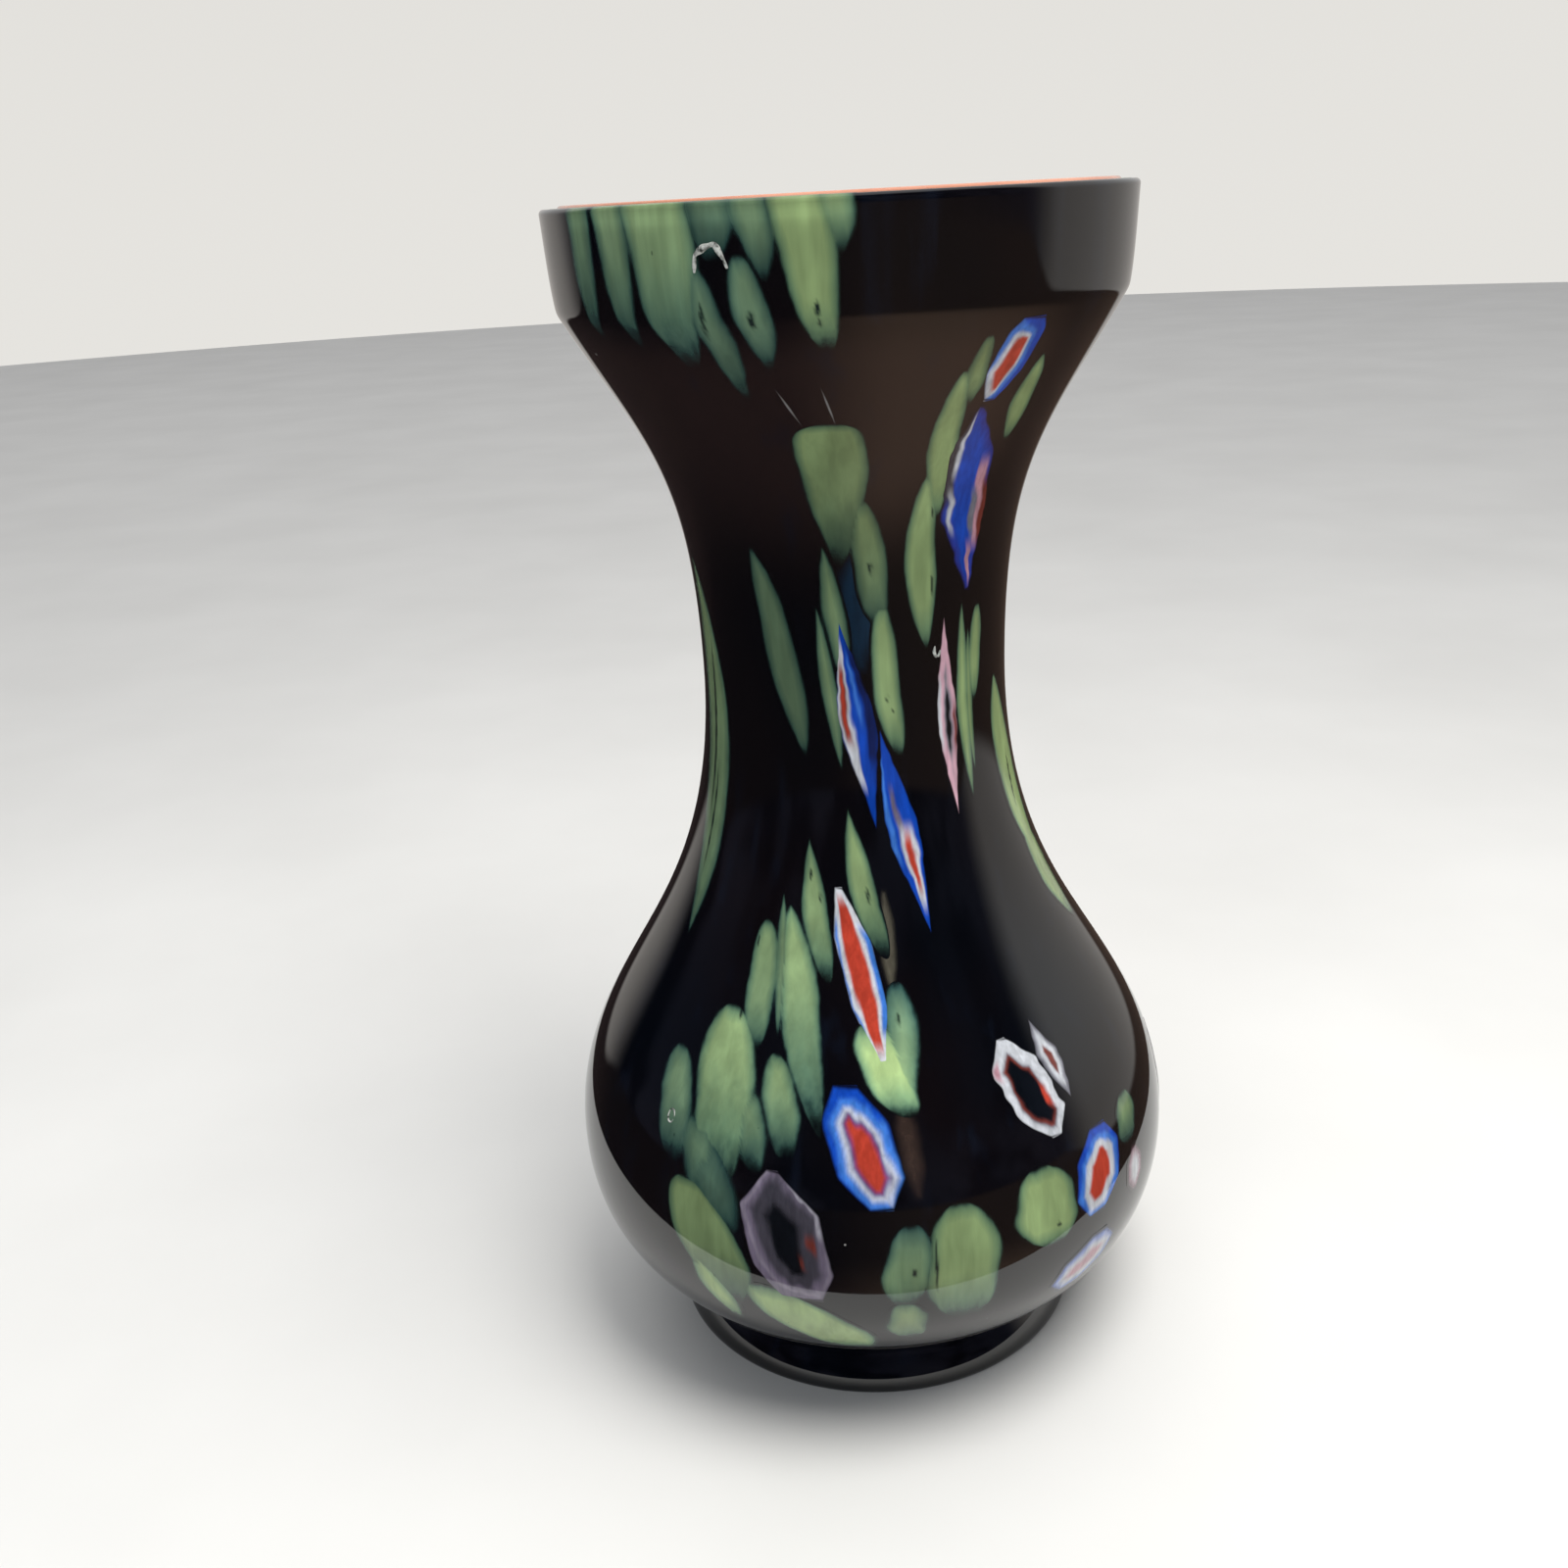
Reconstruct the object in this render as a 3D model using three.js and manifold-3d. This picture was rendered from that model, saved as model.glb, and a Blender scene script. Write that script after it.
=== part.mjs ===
// Hand blown art glass vase, millimetres, +Z up, origin at the centre of the base.
//
// The wall is two layers of hot-worked glass: a black outer casing over a thin orange lining that
// shows as a fine line along the lip. The casing sits on an applied black foot. Pale green opal chips
// and slices of patterned cane are let into the outer surface, flush with it, each in its own pocket.

import * as THREE from 'three';
import { mergeVertices } from 'three/addons/utils/BufferGeometryUtils.js';
import Module from 'manifold-3d';

const wasm = await Module();
wasm.setup();

// ---- driving dimensions ----

const HEIGHT = 190;
const SEGMENTS = 32;
const GAP = 0.3;

const FOOT_HEIGHT = 6.7;
const FOOT_RADIUS = 36.1;
const FOOT_TOP_RADIUS = 33.6;
const FOOT_HOLLOW_RADIUS = 22;
const FOOT_HOLLOW_DEPTH = 1.6;

const CASING_THICKNESS = 2.4;
const LINING_THICKNESS = 1.2;
const LINING_LIP = 0.8;
const CASING_FLOOR = 10.5;

const INLAY_DEPTH = 1.1;
const POCKET_DEPTH = INLAY_DEPTH + GAP;

// The wall's outside is set by five places, each [radius, height], joined by three curves. The wall
// stands upright at the bulb and at the waist.
const FOOT_JOIN = [33.4, FOOT_HEIGHT + GAP];
const BULB = [51.5, 37];
const WAIST = [24.5, 119];
const COLLAR = [42.5, 175];
const LIP = [43.5, 187.6];

const curve = (steps, ...controls) => {
  const points = controls.map(([radius, height]) => new THREE.Vector2(radius, height));
  const bezier = new THREE.CubicBezierCurve(...points);
  return bezier.getPoints(steps).map((point) => [point.x, point.y]);
};
const UNDERSIDE = curve(5, FOOT_JOIN, [43, 15.5], [BULB[0], 21], BULB);
const SHOULDER = curve(8, BULB, [BULB[0], 65], [WAIST[0], 73], WAIST);
const FUNNEL = curve(7, WAIST, [WAIST[0], 151], [31.5, 156.5], COLLAR);
const OUTER = [...UNDERSIDE, ...SHOULDER.slice(1), ...FUNNEL.slice(1), LIP];

// ---- finishes ----

const glass = (name, color, roughness) => {
  return new THREE.MeshStandardMaterial({ name, color, roughness, metalness: 0 });
};
const BLACK_GLASS = glass('black_glass', 0x0b080b, 0.06);
const ORANGE_GLASS = glass('orange_glass', 0xe0805a, 0.15);
const GREEN_OPAL = glass('green_opal', 0x8cb08a, 0.08);
const BLUE_CANE = glass('blue_cane', 0x2450c8, 0.08);
const RED_CANE = glass('red_cane', 0xc23a28, 0.08);
const WHITE_CANE = glass('white_cane', 0xe6e2e6, 0.08);
const LILAC_CANE = glass('lilac_cane', 0x8f84a0, 0.08);

// ---- solids ----

const toSolid = (geometry) => {
  geometry.deleteAttribute('normal');
  geometry.deleteAttribute('uv');
  const merged = mergeVertices(geometry, 1e-4);
  const triVerts = new Uint32Array(merged.index.array);
  const vertProperties = new Float32Array(merged.attributes.position.array);
  return new wasm.Manifold(new wasm.Mesh({ numProp: 3, vertProperties, triVerts }));
};

const toGeometry = (solid) => {
  const mesh = solid.getMesh();
  const geometry = new THREE.BufferGeometry();
  geometry.setAttribute('position', new THREE.BufferAttribute(mesh.vertProperties, 3));
  geometry.setIndex(new THREE.BufferAttribute(mesh.triVerts, 1));
  geometry.computeVertexNormals();
  return geometry;
};

// A turned solid: the profile runs bottom to top, starts and ends on the axis.
const turned = (profile) => {
  const points = profile.map(([radius, height]) => new THREE.Vector2(radius, height));
  const geometry = new THREE.LatheGeometry(points, SEGMENTS);
  geometry.rotateX(Math.PI / 2);
  return toSolid(geometry);
};

// The outer outline moved inwards by a distance, square to the surface.
const inset = (distance) => OUTER.map(([radius, height], i) => {
  const below = OUTER[Math.max(i - 1, 0)];
  const above = OUTER[Math.min(i + 1, OUTER.length - 1)];
  const run = above[0] - below[0];
  const rise = above[1] - below[1];
  const length = Math.hypot(run, rise);
  return [radius - (rise / length) * distance, height + (run / length) * distance];
});

// The closed space inside an inset outline, from a floor height up to a top height. A step of two
// keeps every other level, which is fine enough for the inside faces.
const hollow = (distance, floor, top, step = 1) => {
  const inside = inset(distance).filter(([, height]) => height > floor + 1.5 && height < top - 0.5);
  const wall = inside.filter((point, i) => (inside.length - 1 - i) % step === 0);
  const low = wall[0];
  const high = wall[wall.length - 1];
  return [[0, floor], [low[0] - 4.5, floor], ...wall, [high[0], top], [0, top]];
};

// ---- inlay outlines ----

const radiusAt = (height) => {
  const next = OUTER.findIndex(([, level]) => level > height);
  const above = OUTER[next < 0 ? OUTER.length - 1 : Math.max(next, 1)];
  const below = OUTER[OUTER.indexOf(above) - 1];
  const part = (height - below[1]) / (above[1] - below[1]);
  return below[0] + part * (above[0] - below[0]);
};

// A drawn-out chip between two ends, each [degrees round, height]. Width is across its middle, bend
// bows it sideways, and a larger fullness keeps the width nearer to that end.
const leafOutline = ({ top, bottom, width, bend = 0, full = [2.4, 2.4] }) => {
  const angle = (top[0] + bottom[0]) / 2;
  const spine = (s) => {
    const part = (1 - s) / 2;
    const degrees = top[0] + (bottom[0] - top[0]) * part - angle;
    const height = top[1] + (bottom[1] - top[1]) * part;
    const side = radiusAt(height) * Math.sin(THREE.MathUtils.degToRad(degrees));
    return [side + bend * (1 - s * s), height];
  };
  const half = (s) => (width / 2) * (1 - Math.abs(s) ** (s > 0 ? full[0] : full[1]));
  const steps = width > 6 ? [0.8, 0.3, -0.3, -0.8] : [0.75, 0, -0.75];
  const left = steps.map((s) => [spine(s)[0] - half(s), spine(s)[1]]);
  const right = steps.map((s) => [spine(s)[0] + half(s), spine(s)[1]]).reverse();
  return { angle, outline: [spine(1), ...left, spine(-1), ...right] };
};

// A cut slice with straight sides: its corners lie on an oval of the given size round its centre at
// [degrees, height], and it leans sideways by lean millimetres for each one up.
const sliceOutline = ({ centre, width, height, corners, lean = 0 }) => {
  const outline = Array.from({ length: corners }, (_, i) => {
    const turn = (i / corners) * Math.PI * 2;
    const up = (height / 2) * Math.cos(turn);
    return [lean * up - (width / 2) * Math.sin(turn), centre[1] + up];
  });
  return { angle: centre[0], outline };
};

// Widens an outline by a margin, corner by corner.
const widen = (outline, margin) => outline.map((point, i) => {
  const before = outline[(i + outline.length - 1) % outline.length];
  const after = outline[(i + 1) % outline.length];
  const a = new THREE.Vector2(point[0] - before[0], point[1] - before[1]).normalize();
  const b = new THREE.Vector2(after[0] - point[0], after[1] - point[1]).normalize();
  const normal = new THREE.Vector2(-a.y - b.y, a.x + b.x).normalize();
  const reach = margin / Math.max(Math.abs(normal.dot(new THREE.Vector2(-a.y, a.x))), 0.45);
  return [point[0] - normal.x * reach, point[1] - normal.y * reach];
});

// A block with the outline's section that runs outwards through the wall at the given angle.
const block = (outline, angle) => {
  const shape = new THREE.Shape(outline.map(([side, height]) => new THREE.Vector2(side, height)));
  const geometry = new THREE.ExtrudeGeometry(shape, { depth: 50, bevelEnabled: false });
  geometry.rotateX(Math.PI / 2);
  geometry.translate(0, -12, 0);
  geometry.rotateZ(THREE.MathUtils.degToRad(angle));
  return toSolid(geometry);
};

// Angles run from the front (-Y), positive towards +X.
// A piece without a finish of its own is green opal.
const INLAYS = [
  // green opal chips on the collar
  { name: 'chip_collar_01', top: [-53, 186], bottom: [-52, 174], width: 5, full: [6, 2.4] },
  { name: 'chip_collar_02', top: [-44, 186], bottom: [-42, 174.5], width: 5, full: [6, 2.4] },
  { name: 'chip_collar_03', top: [-33.5, 186.5], bottom: [-31.5, 173], width: 9, full: [9, 3] },
  { name: 'chip_collar_04', top: [-7.5, 186.5], bottom: [-4, 173], width: 6.2, full: [9, 3] },
  { name: 'chip_collar_05', top: [-23.5, 180.5], bottom: [-21.5, 167], width: 4 },
  { name: 'chip_collar_06', top: [-15.5, 181.5], bottom: [-14.5, 170.5], width: 4.5 },

  // green opal chips down the funnel and neck
  { name: 'chip_neck_01', top: [-4.5, 160.5], bottom: [-4, 142.5], width: 8, full: [6, 2.2] },
  { name: 'chip_neck_02', top: [23, 152], bottom: [26.5, 128], width: 4.9 },
  { name: 'chip_neck_03', top: [24.5, 167], bottom: [25.5, 154], width: 3.9 },
  { name: 'chip_neck_04', top: [44, 167.5], bottom: [46.5, 158], width: 4.3 },
  { name: 'chip_neck_05', top: [-31, 142], bottom: [-19, 111.5], width: 4.9 },
  { name: 'chip_neck_06', top: [12, 133.5], bottom: [14, 115], width: 4 },
  { name: 'chip_neck_07', top: [-68, 138], bottom: [-61, 80], width: 7.5, bend: 1 },
  { name: 'chip_neck_08', top: [63, 116], bottom: [76, 84.5], width: 6.4 },
  { name: 'chip_neck_09', top: [6, 149], bottom: [7.5, 134], width: 4.4, full: [3, 2.2] },

  // green opal chips round the bulb
  { name: 'chip_bulb_01', top: [-16, 96.5], bottom: [-11.5, 80], width: 3.8 },
  { name: 'chip_bulb_02', top: [-1.5, 101], bottom: [6.5, 80], width: 3.7, bend: 0.4 },
  { name: 'chip_bulb_03', top: [-29.5, 84.5], bottom: [-28, 70], width: 4.9 },
  { name: 'chip_bulb_04', top: [-20.5, 86], bottom: [-9.5, 63], width: 5.7, bend: -0.4 },
  { name: 'chip_bulb_05', top: [10.5, 77], bottom: [7.5, 61.5], width: 4.6 },
  { name: 'chip_bulb_06', top: [-43.5, 64.5], bottom: [-39.5, 51], width: 7 },
  { name: 'chip_bulb_07', top: [-31.5, 69], bottom: [-27, 50], width: 10.2, full: [3, 4] },
  { name: 'chip_bulb_08', top: [-18, 66.5], bottom: [-15.5, 55.5], width: 5.2, full: [2.6, 3] },
  { name: 'chip_bulb_09', top: [-37.5, 47], bottom: [-24.5, 33.5], width: 8.2, full: [3, 2.4] },
  { name: 'chip_bulb_10', top: [31, 49], bottom: [31.5, 36], width: 11.6, full: [4, 3] },
  { name: 'chip_bulb_11', top: [5.5, 44], bottom: [3.5, 27], width: 7, full: [2.4, 4] },
  { name: 'chip_bulb_12', top: [16, 46.5], bottom: [15.5, 27], width: 10, full: [2.6, 4] },

  // slices of patterned cane
  {
    name: 'cane_collar_blue',
    finish: BLUE_CANE,
    centre: [36.5, 168],
    width: 7.5,
    height: 10.5,
    corners: 6,
    lean: 0.25,
  },
  {
    name: 'cane_neck_blue',
    finish: BLUE_CANE,
    top: [34, 162],
    bottom: [40, 134.5],
    width: 8,
    full: [2.4, 2.6],
  },
  { name: 'cane_neck_long', finish: BLUE_CANE, top: [-4, 132], bottom: [4, 99], width: 5.4, full: [2.2, 3] },
  { name: 'cane_neck_slim', finish: BLUE_CANE, top: [10, 113.5], bottom: [19, 84.5], width: 4.6 },
  { name: 'cane_neck_pink', finish: WHITE_CANE, top: [32.5, 130.5], bottom: [36, 101], width: 3.4 },
  { name: 'cane_bulb_red', finish: RED_CANE, top: [-7, 91], bottom: [1.5, 67.5], width: 4.2, bend: -0.6 },
  {
    name: 'cane_bulb_hexagon',
    finish: RED_CANE,
    centre: [-1.5, 56],
    width: 14,
    height: 17,
    corners: 6,
    lean: -0.3,
  },
  {
    name: 'cane_bulb_lilac',
    finish: LILAC_CANE,
    centre: [-15, 41.5],
    width: 15,
    height: 20,
    corners: 6,
    lean: -0.2,
  },
  {
    name: 'cane_bulb_white',
    finish: WHITE_CANE,
    centre: [33.5, 60],
    width: 9.5,
    height: 15,
    corners: 6,
    lean: -0.3,
  },
  {
    name: 'cane_bulb_small',
    finish: RED_CANE,
    centre: [45, 44],
    width: 12,
    height: 13,
    corners: 6,
    lean: 0.2,
  },

  // the far side carries the same kind of scatter
  { name: 'chip_back_01', top: [96, 186.5], bottom: [98, 173], width: 8.4, full: [9, 3] },
  { name: 'chip_back_02', top: [152, 184], bottom: [155, 169], width: 5.6, full: [3, 2.4] },
  { name: 'chip_back_03', top: [213, 186.5], bottom: [216, 174], width: 8, full: [9, 3] },
  { name: 'chip_back_04', top: [122, 158], bottom: [128, 136], width: 6 },
  { name: 'chip_back_05', top: [186, 128], bottom: [192, 98], width: 5 },
  { name: 'chip_back_06', top: [106, 78], bottom: [112, 60], width: 7 },
  { name: 'chip_back_07', top: [143, 62], bottom: [148, 43], width: 9.4, full: [3, 3] },
  { name: 'chip_back_08', top: [235, 66], bottom: [240, 46], width: 8.6, full: [3, 3] },
  { name: 'cane_back_funnel', finish: BLUE_CANE, top: [168, 160], bottom: [174, 139], width: 6.4 },
  { name: 'cane_back_neck', finish: RED_CANE, top: [236, 122], bottom: [242, 96], width: 4.4 },
  {
    name: 'cane_back_hexagon',
    finish: BLUE_CANE,
    centre: [182, 54],
    width: 14,
    height: 16,
    corners: 6,
  },
  {
    name: 'cane_back_lilac',
    finish: LILAC_CANE,
    centre: [88, 42],
    width: 13,
    height: 17,
    corners: 6,
  },
];

// ---- assembly ----

const casingBlank = turned([
  [0, OUTER[0][1]],
  ...OUTER,
  [42.9, 188.6],
  [41.8, HEIGHT - LINING_LIP],
  [0, HEIGHT - LINING_LIP],
]);
const reach = HEIGHT + 10;
const inlayCore = turned(hollow(INLAY_DEPTH, FOOT_HEIGHT + 1.6, reach));
const pocketCore = turned(hollow(POCKET_DEPTH, FOOT_HEIGHT + 1.6, reach));
const casingHollow = turned(hollow(CASING_THICKNESS, CASING_FLOOR, reach, 2));
const liningOuter = hollow(CASING_THICKNESS + GAP, CASING_FLOOR + GAP, HEIGHT - LINING_LIP, 2);
const liningInner = hollow(
  CASING_THICKNESS + GAP + LINING_THICKNESS,
  CASING_FLOOR + GAP + LINING_THICKNESS,
  reach,
  2,
);

const group = new THREE.Group();
const place = (name, geometry, material) => {
  const mesh = new THREE.Mesh(geometry, material);
  mesh.name = name;
  group.add(mesh);
};

let casing = casingBlank.subtract(casingHollow);
for (const inlay of INLAYS) {
  const { angle, outline } = inlay.corners ? sliceOutline(inlay) : leafOutline(inlay);
  const pocket = block(widen(outline, GAP), angle).subtract(pocketCore);
  casing = casing.subtract(pocket);
  const piece = block(outline, angle).intersect(casingBlank).subtract(inlayCore);
  place(inlay.name, toGeometry(piece), inlay.finish ?? GREEN_OPAL);
}
place('outer_casing', toGeometry(casing), BLACK_GLASS);

// The lining follows the casing's inside and rises a little above it as a rounded lip.
const lipOuter = liningOuter[liningOuter.length - 2][0];
const lining = turned([
  ...liningOuter.slice(0, -1),
  [lipOuter - 0.3, HEIGHT - 0.25],
  [lipOuter - 0.7, HEIGHT],
  [0, HEIGHT],
]).subtract(turned(liningInner));
place('inner_lining', toGeometry(lining), ORANGE_GLASS);

// The foot stands on a flat ring round a shallow hollow.
const foot = turned([
  [0, FOOT_HOLLOW_DEPTH],
  [FOOT_HOLLOW_RADIUS - 4, FOOT_HOLLOW_DEPTH],
  [FOOT_HOLLOW_RADIUS, 0],
  [FOOT_RADIUS - 0.9, 0],
  [FOOT_RADIUS, 1],
  [FOOT_TOP_RADIUS + 0.6, FOOT_HEIGHT - 1.2],
  [FOOT_TOP_RADIUS - 0.2, FOOT_HEIGHT],
  [0, FOOT_HEIGHT],
]);
place('foot', toGeometry(foot), BLACK_GLASS);

export default group;
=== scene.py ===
import math
import bpy
import numpy as np
from mathutils import Matrix, Vector


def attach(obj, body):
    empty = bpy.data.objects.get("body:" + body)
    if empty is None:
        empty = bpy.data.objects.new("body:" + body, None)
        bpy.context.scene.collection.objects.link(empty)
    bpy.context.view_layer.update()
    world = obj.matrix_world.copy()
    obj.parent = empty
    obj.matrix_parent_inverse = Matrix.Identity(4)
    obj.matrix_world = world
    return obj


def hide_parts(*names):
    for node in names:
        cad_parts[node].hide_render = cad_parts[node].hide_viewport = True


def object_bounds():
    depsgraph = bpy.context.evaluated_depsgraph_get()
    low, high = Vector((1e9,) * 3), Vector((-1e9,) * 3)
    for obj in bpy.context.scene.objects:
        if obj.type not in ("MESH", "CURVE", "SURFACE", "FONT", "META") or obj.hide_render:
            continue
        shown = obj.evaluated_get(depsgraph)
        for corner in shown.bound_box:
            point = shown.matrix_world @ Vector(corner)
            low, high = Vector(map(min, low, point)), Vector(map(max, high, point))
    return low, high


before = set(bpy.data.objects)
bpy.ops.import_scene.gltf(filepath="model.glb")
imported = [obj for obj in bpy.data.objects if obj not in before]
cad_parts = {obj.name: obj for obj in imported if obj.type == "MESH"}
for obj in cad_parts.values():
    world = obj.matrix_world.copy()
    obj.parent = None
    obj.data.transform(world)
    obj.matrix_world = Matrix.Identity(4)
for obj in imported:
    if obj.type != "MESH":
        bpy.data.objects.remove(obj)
cad_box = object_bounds()

# ------------------------------------------------------------------------------------------------
# Size: everything below is written in millimetres on a vase 190 mm tall, and scaled to the frame.
# ------------------------------------------------------------------------------------------------

LOW = np.array(cad_box[0], dtype=float)
HIGH = np.array(cad_box[1], dtype=float)
HEIGHT_MM = 190.0
MM = (HIGH[2] - LOW[2]) / HEIGHT_MM
AXIS = np.array([(LOW[0] + HIGH[0]) / 2, (LOW[1] + HIGH[1]) / 2, LOW[2]])


def smoothstep(x, a, b):
    t = np.clip((x - a) / (b - a), 0.0, 1.0)
    return t * t * (3 - 2 * t)


# ------------------------------------------------------------------------------------------------
# The wall's outline
# ------------------------------------------------------------------------------------------------

# radius and height of the casing's outside, from the joint with the foot to where the lip rounds off
# The wall's outside goes through five places, [radius, height], and stands upright at the bulb and waist.
FOOT_JOIN, BULB, WAIST, COLLAR, LIP = (33.4, 7.0), (51.36, 37.0), (24.4, 119.0), (42.4, 175.2), (43.5, 188.9)
CURVES = [
    (FOOT_JOIN, (43.0, 15.5), (BULB[0], 21.0), BULB),
    (BULB, (BULB[0], 65.0), (WAIST[0], 73.0), WAIST),
    (WAIST, (WAIST[0], 151.0), (31.5, 156.5), COLLAR),
    (COLLAR, (43.0, 179.0), (43.2, 184.0), LIP),
]
LIP_RADIUS = 0.7
CASING = 2.4
LINING = 1.3


def follow(curves, step=0.25, soften=7):
    """Dense points along cubic curves that join end to end, lightly averaged at the joins."""
    parts = []
    for controls in curves:
        a, b, c, d = np.array(controls)
        t = np.linspace(0, 1, 401)[:, None]
        parts.append((1 - t)**3 * a + 3 * (1 - t)**2 * t * b + 3 * (1 - t) * t**2 * c + t**3 * d)
    out = np.vstack([parts[0]] + [part[1:] for part in parts[1:]])
    along = np.r_[0, np.cumsum(np.hypot(*np.diff(out, axis=0).T))]
    even = np.linspace(0, along[-1], int(along[-1] / step) + 1)
    out = np.c_[np.interp(even, along, out[:, 0]), np.interp(even, along, out[:, 1])]
    for _ in range(soften):
        out[1:-1] = 0.25 * out[:-2] + 0.5 * out[1:-1] + 0.25 * out[2:]
    return out


wall = follow(CURVES)
turn = np.linspace(0.12, 1.0, 12) * math.pi / 2
lip = np.c_[LIP[0] - LIP_RADIUS * (1 - np.cos(turn)), LIP[1] + LIP_RADIUS * np.sin(turn)]
wall = np.vstack([wall, lip])
steps = np.diff(wall, axis=0)
slope = np.vstack([steps[0], (steps[1:] + steps[:-1]) / 2, steps[-1]])
slope /= np.hypot(slope[:, 0], slope[:, 1])[:, None]
wall_normal = np.c_[slope[:, 1], -slope[:, 0]]
# a coordinate that is the height up the wall, and goes on as a length round the lip
level = wall[:, 1].copy()
first = len(wall) - len(lip)
level[first:] = level[first - 1] + np.cumsum(np.hypot(*np.diff(wall[first - 1:], axis=0).T))
TOP = level[-1]


def on_wall(degrees, height, proud=0.0):
    """Points and normals on the casing's outside: degrees round from the front, millimetres up."""
    height = np.clip(height, level[0], TOP)
    radius = np.interp(height, level, wall[:, 0])
    rise = np.interp(height, level, wall[:, 1])
    nr = np.interp(height, level, wall_normal[:, 0])
    nz = np.interp(height, level, wall_normal[:, 1])
    size = np.hypot(nr, nz)
    nr, nz = nr / size, nz / size
    a = np.radians(degrees)
    r = radius + nr * proud
    points = np.stack([r * np.sin(a), -r * np.cos(a), rise + nz * proud], -1) * MM + AXIS
    normals = np.stack([nr * np.sin(a), -nr * np.cos(a), nz], -1)
    return points, normals


def radius_at(height):
    return np.interp(height, level, wall[:, 0])


# ------------------------------------------------------------------------------------------------
# Mesh helpers
# ------------------------------------------------------------------------------------------------

def add_object(name, verts, faces, material, normals=None, values=None):
    mesh = bpy.data.meshes.new(name)
    mesh.from_pydata(np.asarray(verts).tolist(), [], faces)
    for key, data in (values or {}).items():
        mesh.attributes.new(key, "FLOAT", "POINT").data.foreach_set("value", np.asarray(data, dtype=np.float32))
    mesh.materials.append(material)
    mesh.polygons.foreach_set("use_smooth", [True] * len(mesh.polygons))
    mesh.update()
    if normals is not None:
        mesh.normals_split_custom_set_from_vertices(np.asarray(normals).tolist())
    obj = bpy.data.objects.new(name, mesh)
    bpy.context.scene.collection.objects.link(obj)
    return obj


def turned(name, profile, material, segments=180, normals=None):
    """A closed turned solid: profile is a closed loop of [radius, height] in millimetres."""
    profile = np.asarray(profile, dtype=float)
    angle = np.arange(segments) * 2 * math.pi / segments
    on_axis = profile[:, 0] < 1e-6
    verts, rows = [], []
    for (radius, height), axis in zip(profile, on_axis):
        if axis:
            rows.append([len(verts)] * segments)
            verts.append([0, 0, height])
        else:
            rows.append(list(range(len(verts), len(verts) + segments)))
            verts.extend(np.c_[radius * np.sin(angle), -radius * np.cos(angle), np.full(segments, height)].tolist())
    faces = []
    for lower, upper in zip(rows, rows[1:] + rows[:1]):
        if lower[0] == lower[1] and upper[0] == upper[1]:
            continue
        for i in range(segments):
            j = (i + 1) % segments
            quad = [lower[i], lower[j], upper[j], upper[i]]
            if lower[0] == lower[1]:
                quad = [lower[0], upper[j], upper[i]]
            elif upper[0] == upper[1]:
                quad = [lower[i], lower[j], upper[0]]
            faces.append(quad)
    return add_object(name, np.array(verts) * MM + AXIS, faces, material)


def inset(distance, start, stop, step=2):
    """The wall's outline moved inwards, between two heights."""
    moved = wall - wall_normal * distance
    keep = (wall[:, 1] >= start) & (wall[:, 1] <= stop)
    return moved[keep][::step]


# ------------------------------------------------------------------------------------------------
# Material helpers
# ------------------------------------------------------------------------------------------------

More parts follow.
